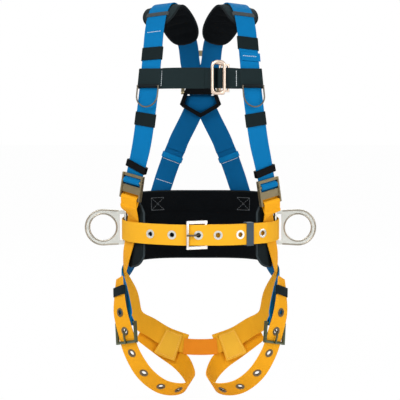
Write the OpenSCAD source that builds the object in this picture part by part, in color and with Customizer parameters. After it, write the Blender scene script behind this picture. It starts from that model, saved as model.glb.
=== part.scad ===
// Full-body construction safety harness, as worn by an upright wearer.
// Millimetres, +Z up, the wearer faces -Y, the wearer's left side is +X.
// The origin is on the body's axis at the height of the waist belt.

/* [Webbing] */
// Width of the harness webbing
web_w = 44; // [40:1:50]
// Thickness of the harness webbing
web_t = 2.4; // [1.8:0.1:3]
// Gap between layers of webbing that lie on each other
layer_gap = 0.5; // [0.4:0.1:1]
// Slack round webbing inside a keeper, slider or loop
keeper_slack = 1; // [0.8:0.1:2]
// Wall of the black elastic keepers
keeper_wall = 1.2; // [1:0.1:2.5]

/* [Body size] */
// Height of the shoulder crest above the belt
shoulder_z = 489; // [470:1:510]
// Height of the middle of the chest strap
chest_z = 329; // [322:1:336]
// Height of the dorsal ring's bar
dorsal_z = 296; // [290:1:302]

/* [Shoulder pads] */
// Width of a shoulder pad
shoulder_pad_w = 78; // [70:1:84]
// Thickness of a shoulder pad at its crown
shoulder_pad_t = 11; // [8:0.5:13]
// Pitch of the ribs across a shoulder pad
shoulder_rib_pitch = 24; // [18:1:32]

/* [Waist pad] */
// Height of the waist pad
waist_pad_h = 152; // [140:1:160]
// Thickness of the waist pad at its crown
waist_pad_t = 15; // [12:0.5:16]
// Thickness of the pad's wings at the front
wing_t = 9; // [7:0.5:10]
// Number of sewn channels along the waist pad
waist_channels = 3; // [2:1:4]

/* [Rings] */
// Radius of the round eye in a ring
eye_r = 28.3; // [26:0.1:30]
// Radius of the outside of a ring
ring_r = 40; // [38:0.5:42]
// Thickness of a ring
ring_t = 6; // [5:0.5:7]
// Radius of the bar that webbing goes round
ring_bar_r = 3.5; // [3:0.1:4]
// Distance from bar to eye on a hip ring
hip_ring_reach = 49.5; // [48:0.5:54]
// Distance from bar to eye on the dorsal ring
dorsal_ring_reach = 70; // [66:0.5:74]
// Lean of the dorsal ring away from the back, in degrees
dorsal_lean = 30; // [26:1:36]

/* [Buckles] */
// Radius of the bars of a tongue buckle
buckle_bar_r = 3; // [2.5:0.1:3.5]
// Distance between the two bars of a tongue buckle
buckle_len = 38; // [34:1:44]
// Gap between webbing and the arms of a buckle
arm_gap = 2; // [1.5:0.1:3]
// Radius of a buckle prong
prong_r = 1.7; // [1.4:0.1:1.9]
// Width of the chest buckle
chest_buckle_w = 34; // [30:1:38]
// Height of the chest buckle
chest_buckle_h = 71; // [66:1:78]
// Running gap between metal pieces
fit_gap = 0.4; // [0.3:0.05:0.6]

/* [Grommets] */
// Radius of a grommet's hole
grommet_hole_r = 5.2; // [4.8:0.1:5.6]
// Radius of a grommet's flange
grommet_flange_r = 9.6; // [8.5:0.1:10.5]

/* [Adjusters] */
// Height of the window in a torso adjuster
adjuster_window_h = 19; // [17:0.5:22]
// Height of the plate below the window
adjuster_plate_h = 16; // [12:1:20]
// Travel of the adjuster's sliding bar
adjuster_travel = 2; // [1:0.5:2.5]

/* [Hidden] */
$fn = 48;
blue = [0, 0.45, 0.75];
gold = [0.95, 0.65, 0.15];
black = [0.1, 0.12, 0.13];
slate = [0.24, 0.29, 0.33];
silver = [0.85, 0.85, 0.82];
rose = [0.93, 0.84, 0.77];
zinc = [0.58, 0.53, 0.4];
olive = [0.35, 0.38, 0.3];
layer = web_t + layer_gap;
route_steps = 4;

// Tongue buckles: the webbing lies over the pivot bar and under the tip bar
eye_lead = 16;
arm_w = 6;
arm_t = 5;
arm_x = web_w / 2 + arm_gap + arm_w / 2;
tip_rise = web_t / 2 + fit_gap + buckle_bar_r;
pivot_ease = 0.9;
pivot_drop = web_t / 2 + fit_gap + buckle_bar_r + web_t + fit_gap + pivot_ease;
prong_w = 7;
notch_back = 2;
prong_pivot = [0, -pivot_drop, buckle_len / 2];
prong_knee = prong_pivot + [0, 1.5, -9];
prong_crest = [0, tip_rise + buckle_bar_r + fit_gap + prong_r - 2, -1];
prong_end = [0, tip_rise + buckle_bar_r + fit_gap + prong_r, -buckle_len / 2 - 2];
prong_hole_z = prong_knee.z - (prong_crest.z - prong_knee.z) * prong_knee.y / (prong_crest.y - prong_knee.y);
leg_buckle_at = 9;

// Torso adjusters, on the wearer's left, with the drop of each side
top_bar_h = 6;
lower_slot_h = 8;
adjuster_in = web_w / 2 + arm_gap;
rail_w = 4;
rail_out = 3;
rail_in = 5;
adjuster_tenon_r = 2;
adjuster_bar_z = -adjuster_window_h / 2 - adjuster_plate_h - lower_slot_h - buckle_bar_r;
sliding_bar_r = 3.2;
plate_t = 3;
adjuster_drop = [10, 0];
adjuster_mid = [[145, -92, 110], [0.6, -0.8, 0]];
adjuster_up = [-0.25, 0.03, 1];
roll_lean = 42;
roll_lead = 13;

// Thickness at the edge of a pad
pad_edge = 3.5;

// Vectors
function unit(v) = v / norm(v);
function mirror_x(side, v) = [side * v.x, v.y, v.z];

// A point on the smooth curve through four points, with t from 0 to 1 between the middle two
function smooth(p0, p1, p2, p3, t) =
    0.5 * (2 * p1 + (p2 - p0) * t + (2 * p0 - 5 * p1 + 4 * p2 - p3) * t * t
           + (3 * p1 - p0 - 3 * p2 + p3) * t * t * t);
function curve_at(p, u) =
    let (last = len(p) - 1, i = min(floor(u), last - 1))
    smooth(i > 0 ? p[i - 1] : 2 * p[0] - p[1], p[i], p[i + 1],
           i + 2 <= last ? p[i + 2] : 2 * p[last] - p[last - 1], u - i);

// A station on a route is [place, outward normal], and a frame adds the directions along and across
function places(route) = [for (s = route) s[0]];
function normals(route) = [for (s = route) s[1]];
function frame_at(route, u) =
    let (last = len(route) - 1, p = places(route),
         along = unit(curve_at(p, min(u + 0.02, last)) - curve_at(p, max(u - 0.02, 0))),
         raw = curve_at(normals(route), u),
         out = unit(raw - (raw * along) * along))
    [curve_at(p, u), along, out, cross(out, along)];
function mirror_route(side, route) = [for (s = route) [mirror_x(side, s[0]), mirror_x(side, s[1])]];

// Places children in a frame: X across the webbing, Y outward, Z along it
module in_frame(f)
    multmatrix([[f[3].x, f[2].x, f[1].x, f[0].x],
                [f[3].y, f[2].y, f[1].y, f[0].y],
                [f[3].z, f[2].z, f[1].z, f[0].z],
                [0, 0, 0, 1]])
        children();

// Closed skin over rings of equal length, wound so that its faces point outward
module skin(rings) {
    count = len(rings[0]);
    last = len(rings) - 1;
    sides = [for (i = [0 : last - 1], k = [0 : count - 1])
        let (a = i * count + k, b = i * count + (k + 1) % count)
        each k < count / 2 ? [[a, a + count, b + count], [a, b + count, b]]
                           : [[a, a + count, b], [b, a + count, b + count]]];
    cap = [for (k = [0 : count / 2 - 2]) each [[k, k + 1, count - 2 - k], [k, count - 2 - k, count - 1 - k]]];
    end_cap = [for (f = cap) [f[0], f[2], f[1]] + last * count * [1, 1, 1]];
    polyhedron([for (r = rings) each r], concat(sides, cap, end_cap), convexity = 8);
}

// Flat webbing swept along a route
function web_ring(f, w, t) =
    let (across = f[3] * w / 2, out = f[2] * t / 2)
    [f[0] - across - out, f[0] + across - out, f[0] + across + out, f[0] - across + out];
module webbing(route, w = web_w, t = web_t, from = 0, to = -1) {
    last = to < 0 ? len(route) - 1 : to;
    count = ceil((last - from) * route_steps);
    skin([for (i = [0 : count]) web_ring(frame_at(route, from + (last - from) * i / count), w, t)]);
}

// A point on a pad's face, with v from -1 to 1 across it and face 1 outside or -1 inside
function pad_point(f, half, thick, v, face, dent) =
    let (crown = pad_edge + (thick - pad_edge) * (1 - pow(abs(v), 2.5)) * (1 - dent))
    f[0] + f[3] * half * v + f[2] * face * crown / 2;

// A rectangular band round webbing, open along it
module band(w, t, wall, length)
    difference() {
        cube([w + 2 * wall, t + 2 * wall, length], center = true);
        cube([w, t, length + 1], center = true);
    }

// The end of a strap sewn round a bar: bar along X, strap leaving along +Z
module strap_eye(bar_r, lead) {
    hole_r = bar_r + fit_gap + 0.1;
    rotate([90, 0, 90])
        linear_extrude(web_w - 1, center = true)
            difference() {
                hull() {
                    circle(hole_r + web_t, $fn = 32);
                    translate([-web_t / 2, lead - 1]) square([web_t, 1]);
                }
                circle(hole_r, $fn = 32);
            }
}
// Routes, for the wearer's left side: stations are [place, outward normal]
shoulder_stations = [
    [[132, -99, 155], [0.52, -0.85, 0]],
    [[123, -108, 197], [0.44, -0.9, 0]],
    [[114, -112, 260], [0.41, -0.91, 0.05]],
    [[107, -106, 320], [0.39, -0.9, 0.2]],
    [[102, -88, 380], [0.37, -0.86, 0.35]],
    [[97, -58, 440], [0.33, -0.7, 0.6]],
    [[88, -22, shoulder_z - 11], [0.22, -0.35, 0.9]],
    [[73, 15, shoulder_z], [0.05, 0.15, 0.98]],
    [[52, 62, 460], [-0.02, 0.65, 0.75]],
    [[30, 100, 410], [0, 0.9, 0.36]],
    [[23, 113.5, 362], [0, 0.98, 0.15]],
    [[14.5, 118, 328], [0, 1, 0.03]],
    [[3, 118.5, dorsal_z], [0, 1, 0]],
    [[-11, 119, 266], [0, 1, 0]],
    [[-26, 119, 234], [0, 1, 0]],
    [[-48, 119.5, 190], [0, 1, 0]],
    [[-57, 120, 166], [0, 1, 0]]];
shoulder_cross = [11, 15];
cross_ease = 0.8;
strap_start = adjuster_window_h / 2 + top_bar_h + 0.4;
strap_behind = 4.6;
function shoulder_route(side) = let (adjuster = adjuster_frame_at(side)) lifted(concat(
    [[adjuster[0] + adjuster[1] * strap_start - adjuster[2] * strap_behind, adjuster[2]]],
    mirror_route(side, shoulder_stations)), shoulder_cross[0], shoulder_cross[1], side < 0 ? layer + cross_ease : 0);

// The wearer's right strap lies outside the left one where they cross
function lifted(route, from, to, lift) =
    [for (i = [0 : len(route) - 1])
        [route[i][0] + (i >= from && i <= to ? lift : 0) * [0, 1, 0], route[i][1]]];

// Plan of the waist, followed by the pad, the belt and the straps between them
waist_plan = [[-60, 121.5], [0, 122], [60, 121.5], [104, 109], [138, 76], [154, 34], [156, -8],
              [150, -46], [130, -78], [115, -97]];
function plan_at(u) = curve_at([for (p = waist_plan) [p.x, p.y, 0]], u);
function plan_out(u) =
    let (along = unit(plan_at(min(u + 0.02, len(waist_plan) - 1)) - plan_at(max(u - 0.02, 0))))
    [-along.y, along.x, 0];
function at_waist(u, off, z) = [plan_at(u) + plan_out(u) * off + [0, 0, z], plan_out(u)];

belt_ease = 1.6;
pad_face = waist_pad_t / 2;
wing_face = wing_t / 2;
under_belt = pad_face + layer_gap + web_t / 2;
under_corner = under_belt - 1.5;
under_wing = wing_face + layer_gap + web_t / 2 + 0.3;
belt_off = wing_face + 2 * fit_gap + 2 * ring_bar_r + web_t / 2 + belt_ease;

back_stations = [
    [[-51, 120 + layer, 182], [0, 1, 0]],
    [[-66, 122 + layer, 146], [0, 1, 0]],
    [[-79, 121 + under_belt, 110], [0, 1, 0]],
    mirror_station(at_waist(2.7, under_belt, 62)),
    mirror_station(at_waist(3.25, under_corner, 10)),
    mirror_station(at_waist(3.85, under_corner, -40)),
    mirror_station(at_waist(4.5, under_corner, -82)),
    [[-168, 28, -100], [-1, 0.1, 0]],
    [[-173, -8, -110], [-1, -0.1, 0]],
    [[-170, -40, -118], [-0.97, -0.25, 0]],
    [[-165, -66, -136], [-0.9, -0.45, 0]]];
function back_route(side) = let (leg = leg_frame(-side), pivot = leg_pivot(leg)) concat(
    mirror_route(side, back_stations),
    [[pivot + leg[1] * (eye_lead + 12) - leg[2] * 8 + [0, 4, 0], leg[2]],
     [pivot + leg[1] * (eye_lead - 3), leg[2]]]);
function leg_pivot(leg) = leg[0] - leg[2] * pivot_drop + leg[1] * buckle_len / 2;
function mirror_station(s) = [mirror_x(-1, s[0]), mirror_x(-1, s[1])];

function hip_route(side) = let (adjuster = adjuster_frame_at(side)) concat(
    [[adjuster[0] + adjuster[1] * (adjuster_bar_z - eye_lead + 3), adjuster[2]],
     [adjuster[0] + adjuster[1] * (adjuster_bar_z - eye_lead - 7), adjuster[2]]],
    mirror_route(side, hip_stations));
hip_stations = [
    at_waist(7.54, under_wing - 0.1, 27),
    at_waist(7.3, under_wing + 0.3, 0),
    at_waist(7.12, under_wing, -24),
    [[163, -40, -64], [0.96, -0.28, 0]],
    [[168, -8, -106], [1, 0.05, 0]],
    [[159, 32, -154], [0.92, 0.38, 0]],
    [[139, 60, -200], [0.68, 0.72, -0.1]],
    [[112, 82, -237], [0.42, 0.88, -0.2]],
    [[78, 92, -260], [0.15, 0.96, -0.2]],
    [[33, 78, -274], [-0.2, 0.96, -0.2]]];

leg_route = [
    [[137, 78, -245], [0.6, 0.77, -0.2]],
    [[88, 98, -286], [0.15, 0.96, -0.25]],
    [[47, 76, -312], [-0.45, 0.85, -0.25]],
    [[25, 34, -334], [-0.9, 0.3, -0.3]],
    [[25, -12, -346], [-0.75, -0.3, -0.55]],
    [[48, -48, -350], [-0.25, -0.7, -0.65]],
    [[85, -76, -337], [0.1, -0.85, -0.5]],
    [[120, -98, -304], [0.32, -0.88, -0.35]],
    [[146, -108, -258], [0.56, -0.82, -0.1]],
    [[159.5, -110.5, -214], [0.64, -0.77, 0]],
    [[171, -107.5, -169], [0.72, -0.69, 0]],
    [[174, -94, -126], [0.87, -0.49, 0]],
    [[174, -84, -98], [0.93, -0.36, 0]]];

buckle_y = -140;
buckle_x = -8;
belt_side = [for (u = [8 : -0.75 : 2]) at_waist(u, belt_off, 0)];
function reversed(list) = [for (i = [len(list) - 1 : -1 : 0]) list[i]];
belt_route = concat(
    [[[buckle_x + buckle_len / 2 + 9, buckle_y + pivot_drop, 0], [0, -1, 0]],
     [[62, -128, 0], [0.3, -0.95, 0]],
     [[106, -109, 0], [0.5, -0.86, 0]]],
    belt_side,
    [at_waist(1, belt_off, 0)],
    [for (s = reversed(belt_side)) mirror_station(s)],
    [[[-108, -113, 0], [-0.5, -0.86, 0]],
     [[-62, -133, 0], [-0.25, -0.96, 0]],
     [[buckle_x - buckle_len / 2, buckle_y, 0], [0, -1, 0]],
     [[buckle_x + buckle_len / 2, buckle_y, 0], [0, -1, 0]],
     [[64, -135.5, 0], [0.25, -0.96, 0]],
     [[110, -114.5, 0], [0.55, -0.84, 0]],
     [[143, -93, 0], [0.66, -0.75, 0]]]);

// Straps
module shoulder_strap(side)
    color(blue)
        webbing(shoulder_route(side));

module back_strap(side) {
    leg = leg_frame(-side);
    color(blue)
        difference() {
            union() {
                webbing(back_route(side));
                in_frame(leg) at_pivot() strap_eye(buckle_bar_r, eye_lead);
            }
            in_frame(leg) at_pivot() prong_notch();
        }
}

module hip_strap(side)
    color(gold) {
        webbing(hip_route(side));
        in_frame(adjuster_frame_at(side))
            translate([0, 0, adjuster_bar_z]) rotate([180, 0, 0]) strap_eye(buckle_bar_r, eye_lead);
    }

// Two straps of the seat are sewn together under a patch
patch_h = 62;
patch_t = 1.6;
patch_on = [9.8, 10.75];
patch_shift = 14;
module seat_patch(side) {
    inside = web_t / 2 + 2 * layer_gap + patch_t / 2;
    route = [for (i = [0 : 4])
        let (f = frame_at(hip_route(side), patch_on[0] + (patch_on[1] - patch_on[0]) * i / 4))
        [f[0] - f[2] * inside - side * f[3] * patch_shift, f[2]]];
    color(gold) webbing(route, w = patch_h, t = patch_t);
}

crotch_route = [
    [[-38, 73, -278], [-0.2, 0.96, -0.2]],
    [[-16, 68, -279], [-0.1, 0.98, -0.2]],
    [[16, 68, -279], [0.1, 0.98, -0.2]],
    [[38, 73, -278], [0.2, 0.96, -0.2]]];
crotch_w = 36;
module crotch_strap()
    color(gold) webbing(crotch_route, w = crotch_w);

// Grommets stand in punched holes in the belt and the leg straps
belt_grommets_at = [22.05, 23.05, 24.5 + prong_hole_z / buckle_len, 25.5, 26.4, 27.65];
leg_pitch = norm(leg_route[10][0] - leg_route[9][0]);
leg_prong_hole_at = leg_buckle_at + prong_hole_z / leg_pitch;
leg_grommets_at = [5.02, 6.03, 7.05, 8.02, leg_prong_hole_at, leg_prong_hole_at + 0.88];
grommet_wall = 0.8;
flange_t = 0.7;
module grommet_holes(route, list)
    for (u = list)
        in_frame(frame_at(route, u))
            rotate([90, 0, 0]) cylinder(r = grommet_hole_r + grommet_wall, h = 12, center = true, $fn = 24);
module grommet()
    rotate([90, 0, 0])
        difference() {
            union() {
                cylinder(r = grommet_hole_r + grommet_wall, h = web_t + 2 * flange_t, center = true);
                for (face = [-1, 1])
                    translate([0, 0, face * (web_t + flange_t) / 2])
                        cylinder(r = grommet_flange_r, h = flange_t, center = true);
            }
            cylinder(r = grommet_hole_r, h = web_t + 4 * flange_t, center = true);
        }
module grommets(route, list)
    color(silver) for (u = list) in_frame(frame_at(route, u)) grommet();

module leg_strap(side) {
    route = mirror_route(side, leg_route);
    color(gold)
        difference() {
            webbing(route);
            grommet_holes(route, leg_grommets_at);
        }
}
module leg_grommets(side) grommets(mirror_route(side, leg_route), leg_grommets_at);

module belt()
    color(gold)
        difference() {
            union() {
                webbing(belt_route);
                in_frame(belt_frame) at_pivot() strap_eye(buckle_bar_r, eye_lead);
            }
            grommet_holes(belt_route, belt_grommets_at);
            in_frame(belt_frame) at_pivot() prong_notch();
        }
module belt_grommets() grommets(belt_route, belt_grommets_at);

// Tongue buckles
belt_frame = [[buckle_x, buckle_y, 0], [1, 0, 0], [0, -1, 0], [0, 0, 1]];
function leg_frame(side) = frame_at(mirror_route(side, leg_route), leg_buckle_at);
module at_pivot() translate([0, -pivot_drop, buckle_len / 2]) children();
module prong_notch()
    translate([0, 0, -notch_back])
        cube([prong_w + 2, 4 * pivot_drop, eye_lead + notch_back], center = true);
module rod(a, b, r) {
    d = b - a;
    translate(a)
        rotate([0, acos(d.z / norm(d)), atan2(d.y, d.x)])
            cylinder(r = r, h = norm(d));
}
module buckle_frame() {
    pivot = [0, -pivot_drop, buckle_len / 2];
    tip = [0, tip_rise, -buckle_len / 2];
    arm = norm(tip - pivot) + 2 * buckle_bar_r;
    slope = atan2(tip.y - pivot.y, pivot.z - tip.z);
    for (p = [pivot, tip]) rod(p - [arm_x, 0, 0], p + [arm_x, 0, 0], buckle_bar_r);
    translate((pivot + tip) / 2)
        rotate([slope, 0, 0])
            for (x = [-arm_x, arm_x])
                translate([x, 0, 0]) cube([arm_w, arm_t, arm], center = true);
}
module buckle_prong() {
    root = prong_pivot - [0, 0, buckle_bar_r + 1];
    path = [root, prong_knee, prong_crest, prong_end];
    rotate([90, 0, 90])
        linear_extrude(2 * prong_r, center = true)
            polygon(concat([for (p = path) [p.y + prong_r, p.z]],
                           [for (p = reversed(path)) [p.y - prong_r, p.z]]));
    translate(prong_pivot) rotate([0, 90, 0])
        difference() {
            cylinder(r = buckle_bar_r + fit_gap + 1.6, h = prong_w, center = true);
            cylinder(r = buckle_bar_r + fit_gap, h = prong_w + 1, center = true);
        }
}
module belt_buckle_frame() color(silver) in_frame(belt_frame) buckle_frame();
module belt_prong() color(silver) in_frame(belt_frame) buckle_prong();
module leg_buckle_frame(side) color(olive) in_frame(leg_frame(side)) buckle_frame();
module leg_prong(side) color(olive) in_frame(leg_frame(side)) buckle_prong();

// Keepers, sliders and bands round the webbing
module keeper_on(route, u, length, wall, slack = keeper_slack)
    in_frame(frame_at(route, u))
        band(web_w + 2 * slack, web_t + 2 * slack, wall, length);
upper_keeper_len = 29;
lower_keeper_len = 28;
slider_len = 16;
leg_keeper_len = 20;
leg_keeper_slack = 1.8;
upper_keeper_at = [5.35, 5.0];
lower_keeper_at = 2.72;
slider_at = [0.42, 0.58];
leg_keeper_at = 11;
function pick(side, pair) = side > 0 ? pair[0] : pair[1];
module upper_keeper(side)
    color(black) keeper_on(shoulder_route(side), pick(side, upper_keeper_at),
                           upper_keeper_len, keeper_wall);
module lower_keeper(side)
    color(black) keeper_on(shoulder_route(side), lower_keeper_at, lower_keeper_len, keeper_wall);
module strap_slider(side)
    color(black) keeper_on(shoulder_route(side), pick(side, slider_at), slider_len, 3);
module leg_keeper(side)
    color(black) keeper_on(mirror_route(side, leg_route), leg_keeper_at, leg_keeper_len, keeper_wall,
                           leg_keeper_slack);
module back_keeper(side)
    color(blue) keeper_on(back_route(side), 0.75, 12, 1.4);

belt_keeper_at = 26.85;
belt_keeper_len = 17;
module belt_keeper() {
    f = frame_at(belt_route, belt_keeper_at);
    depth = 12.5;
    color(slate)
        in_frame(f)
            translate([0, keeper_slack + web_t / 2 - depth / 2, 0])
                band(web_w + 2 * keeper_slack, depth, 1.8, belt_keeper_len);
}

// Rings: a round eye, a web and a slot for the webbing, with the bar on X at the origin and the eye up +Z
module ring(reach, slot_w) {
    arm_w = 8;
    web_under = 7.5;
    slot_h = reach - eye_r - web_under - ring_bar_r;
    half = slot_w / 2 + arm_w;
    rotate([90, 0, 0])
        linear_extrude(ring_t, center = true)
            difference() {
                union() {
                    translate([0, reach]) circle(ring_r);
                    polygon([[-half, 0], [half, 0], [ring_r, reach], [-ring_r, reach]]);
                }
                translate([0, reach]) circle(eye_r);
                translate([-slot_w / 2, -1]) square([slot_w, slot_h + ring_bar_r + 1]);
            }
    rotate([0, 90, 0]) cylinder(r = ring_bar_r, h = 2 * half, center = true);
}
hip_slot_w = web_w + 14;
dorsal_slot_w = 72;
hip_ring_u = 6.3;
hip_ring_rise = 4;
hip_bar_off = wing_face + fit_gap + ring_bar_r;
module hip_ring(side) {
    bar = mirror_x(side, at_waist(hip_ring_u, hip_bar_off, hip_ring_rise)[0]);
    color(silver)
        translate(bar) rotate([0, side * 90, 0]) ring(hip_ring_reach, hip_slot_w);
}
dorsal_bar = [0, 112, dorsal_z];
module dorsal_ring()
    color(zinc) translate(dorsal_bar) rotate([-dorsal_lean, 0, 0]) ring(dorsal_ring_reach, dorsal_slot_w);

// Dorsal plate: a moulded frame on the wearer's side of the crossing straps
plate_front = 104;
plate_bar_t = 4;
plate_rim_back = 116;
module plate_outline(inset)
    offset(delta = -inset)
        polygon([[-33, 12], [33, 12], [47, -26], [40, -33], [0, -56], [-40, -33], [-47, -26]]);
module dorsal_plate()
    color(black)
        translate([0, plate_front, dorsal_z]) rotate([90, 0, 0]) mirror([0, 0, 1]) {
            linear_extrude(plate_bar_t)
                difference() {
                    plate_outline(0);
                    intersection() {
                        plate_outline(9);
                        translate([-60, -80]) square([120, 80 - 3]);
                    }
                }
            linear_extrude(plate_rim_back - plate_front)
                difference() {
                    plate_outline(0);
                    plate_outline(7);
                    translate([-60, -12]) square([120, 40]);
                }
        }

// Chest strap: two halves looped round the front straps, joined by a pass-through buckle
chest_loop_slack = 3;
chest_u = 4 + (chest_z - 321.2) / 60;
chest_y = -121;
loop_wall = 2;
chest_loop_depth = web_t + 4;
chest_loop_out = chest_loop_depth / 2 + loop_wall;
wire_drop = 5;
buckle_mid_x = 37;
chest_bar_r = 2.6;
module chest_loop(side)
    in_frame(frame_at(shoulder_route(side), chest_u))
        band(web_w + 2 * chest_loop_slack, chest_loop_depth, loop_wall, web_w - 2);
function chest_route(side, end_x) =
    let (loop = frame_at(shoulder_route(side), chest_u),
         inward = side * loop[3],
         edge = loop[0] + inward * (web_w / 2 + chest_loop_slack + loop_wall / 2),
         long = norm([edge.x - end_x, 0, 0]) > web_w)
    concat([[edge, loop[2]]],
           long ? [[edge + inward * 10 + [0, 0, (chest_z - edge.z) / 2], loop[2] + [0, -0.6, 0]],
                   [[(edge.x + end_x) / 2, chest_y, chest_z], [0, -1, 0]]] : [],
           [[[end_x, chest_y, chest_z], [0, -1, 0]]]);
frame_bar_x = buckle_mid_x - chest_buckle_w / 2 + 5;
insert_w = 17;
insert_lean = 8;
insert_h = chest_buckle_h - 17;
front_bar_y = chest_y - 9;
insert_bar_x = buckle_mid_x + chest_buckle_w / 2 + 4;
module chest_strap(side) {
    bar_x = side > 0 ? insert_bar_x - insert_w : frame_bar_x;
    color(black)
        difference() {
            union() {
                chest_loop(side);
                in_frame(lanyard_frame(side)) wire_hem(wire_r + fit_gap + hem_wall, hem_w);
                webbing(chest_route(side, bar_x + side * 12));
                translate([bar_x, chest_y, chest_z]) rotate([0, side * 90, 0])
                    strap_eye(chest_bar_r, eye_lead);
            }
            in_frame(lanyard_frame(side)) wire_hem(wire_r + fit_gap, hem_w + 20);
        }
}
module upright_bar(x, y, h) translate([x, y, chest_z]) cylinder(r = chest_bar_r, h = h, center = true);
module chest_buckle_frame()
    color(rose) {
        upright_bar(frame_bar_x, chest_y, chest_buckle_h - 8);
        upright_bar(frame_bar_x + chest_buckle_w - 10, front_bar_y, chest_buckle_h - 8);
        for (end = [-1, 1])
            translate([0, 0, chest_z + end * (chest_buckle_h / 2 - 4)])
                rod([frame_bar_x, chest_y, 0], [frame_bar_x + chest_buckle_w - 10, front_bar_y, 0], chest_bar_r + 0.6);
    }
module chest_buckle_insert()
    color(rose) {
        outer = [insert_bar_x, chest_y + insert_lean, 0];
        inner = [insert_bar_x - insert_w, chest_y, 0];
        for (p = [outer, inner]) upright_bar(p.x, p.y, insert_h + 5);
        for (end = [-1, 1])
            translate([0, 0, chest_z + end * insert_h / 2]) rod(outer, inner, chest_bar_r - 0.3);
    }

// Wire loops under the chest strap that hold a lanyard's snap hook
wire_r = 1.6;
wire_half_w = 24;
wire_leg = 21;
hem_w = 43;
hem_wall = 1.4;
function lanyard_frame(side) = frame_at(shoulder_route(side), chest_u);
module at_wire() translate([0, chest_loop_out + fit_gap + wire_r, wire_drop - web_w / 2]) children();
module wire_hem(r, w) at_wire() rotate([0, 90, 0]) cylinder(r = r, h = w, center = true);
module lanyard_keeper(side)
    color(zinc)
        in_frame(lanyard_frame(side)) {
            wire_hem(wire_r, 2 * (wire_half_w + wire_r));
            at_wire() {
                for (x = [-1, 1]) rod([x * wire_half_w, 0, 0], [x * wire_half_w, 0, -wire_leg], wire_r);
                translate([0, 0, -wire_leg])
                    rotate([90, 180, 0])
                        rotate_extrude(angle = 180) translate([wire_half_w, 0]) circle(wire_r, $fn = 24);
            }
        }

// Torso adjusters: a folded steel frame with a sliding bar that the blue strap rolls round
function adjuster_frame_at(side) =
    let (out = unit(mirror_x(side, adjuster_mid[1])), lean = mirror_x(side, adjuster_up),
         up = unit(lean - (lean * out) * out))
    [mirror_x(side, adjuster_mid[0]) - [0, 0, pick(side, adjuster_drop)], up, out, cross(out, up)];
module adjuster_frame(side)
    color(zinc)
        in_frame(adjuster_frame_at(side)) {
            top = adjuster_window_h / 2 + top_bar_h;
            difference() {
                union() {
                    translate([-adjuster_in - rail_w, -plate_t / 2, -adjuster_window_h / 2 - adjuster_plate_h])
                        cube([2 * (adjuster_in + rail_w), plate_t, adjuster_plate_h]);
                    translate([-adjuster_in - rail_w, -plate_t / 2, adjuster_window_h / 2])
                        cube([2 * (adjuster_in + rail_w), plate_t, top_bar_h]);
                    for (x = [-adjuster_in - rail_w, adjuster_in])
                        translate([x, -rail_in, adjuster_bar_z - buckle_bar_r])
                            cube([rail_w, rail_in + rail_out, top - adjuster_bar_z + buckle_bar_r]);
                }
                tenon = adjuster_tenon_r + fit_gap;
                translate([-adjuster_in - rail_w - 1, -tenon, -tenon - adjuster_travel])
                    cube([2 * (adjuster_in + rail_w) + 2, 2 * tenon, 2 * tenon + 2 * adjuster_travel]);
            }
            translate([0, 0, adjuster_bar_z]) rotate([0, 90, 0])
                cylinder(r = buckle_bar_r, h = 2 * adjuster_in + rail_w, center = true);
        }
module adjuster_bar(side)
    color(zinc)
        in_frame(adjuster_frame_at(side)) rotate([0, 90, 0]) {
            cylinder(r = sliding_bar_r, h = 2 * (adjuster_in - fit_gap), center = true);
            cylinder(r = adjuster_tenon_r, h = 2 * (adjuster_in + rail_w), center = true);
        }
module adjuster_roll(side)
    color(blue)
        in_frame(adjuster_frame_at(side)) rotate([roll_lean, 0, 0]) strap_eye(sliding_bar_r, roll_lead);

// Pads: a row runs along the inner face and back along the outer one, and dents draw the crown in
module padded(frames, halves, thicks, dents, cols)
    skin([for (i = [0 : len(frames) - 1]) concat(
        [for (k = [0 : cols])
            pad_point(frames[i], halves[i], thicks[i], 2 * k / cols - 1, -1, dents[i][k])],
        [for (k = [cols : -1 : 0])
            pad_point(frames[i], halves[i], thicks[i], 2 * k / cols - 1, 1, dents[i][k] / 3)])]);

shoulder_pad_from = 6.15;
shoulder_pad_to = 10.1;
shoulder_pad_cols = 8;
pad_sink = 0.4;
function route_length(route, from, to, count) =
    let (p = [for (i = [0 : count]) curve_at(places(route), from + (to - from) * i / count)],
         parts = [for (i = [1 : count]) norm(p[i] - p[i - 1])])
    parts * [for (part = parts) 1];
function sunk(f, depth) = [f[0] - f[2] * depth, f[1], f[2], f[3]];
module shoulder_pad(side) {
    route = shoulder_route(side);
    ribs = round(route_length(route, shoulder_pad_from, shoulder_pad_to, 40) / shoulder_rib_pitch);
    rows = 4 * ribs;
    depth = web_t / 2 + layer_gap + pad_sink + shoulder_pad_t / 2;
    along = [for (i = [0 : rows]) i / rows];
    color(black)
        padded([for (t = along)
                    sunk(frame_at(route, shoulder_pad_from + (shoulder_pad_to - shoulder_pad_from) * t), depth)],
               [for (t = along) shoulder_pad_w / 2 * (0.35 + 0.65 * sqrt(1 - pow(abs(2 * t - 1), 3)))],
               [for (t = along) pad_edge + (shoulder_pad_t - pad_edge) * sqrt(1 - pow(abs(2 * t - 1), 6))],
               [for (i = [0 : rows]) [for (k = [0 : shoulder_pad_cols]) i % 4 == 0 ? 0.45 : 0]],
               shoulder_pad_cols);
}

pad_band_at = 6.55;
pad_band_len = 11;
pad_band_t = 1.5;
module pad_band(side) {
    half = web_w / 2 + 2 + pad_band_t;
    top = web_t / 2 + layer_gap;
    foot = 5;
    color(slate)
        in_frame(frame_at(shoulder_route(side), pad_band_at)) {
            translate([-half, top, -pad_band_len / 2]) cube([2 * half, pad_band_t, pad_band_len]);
            for (x = [-half, half - pad_band_t])
                translate([x, top - foot, -pad_band_len / 2]) cube([pad_band_t, foot + pad_band_t, pad_band_len]);
        }
}

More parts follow.
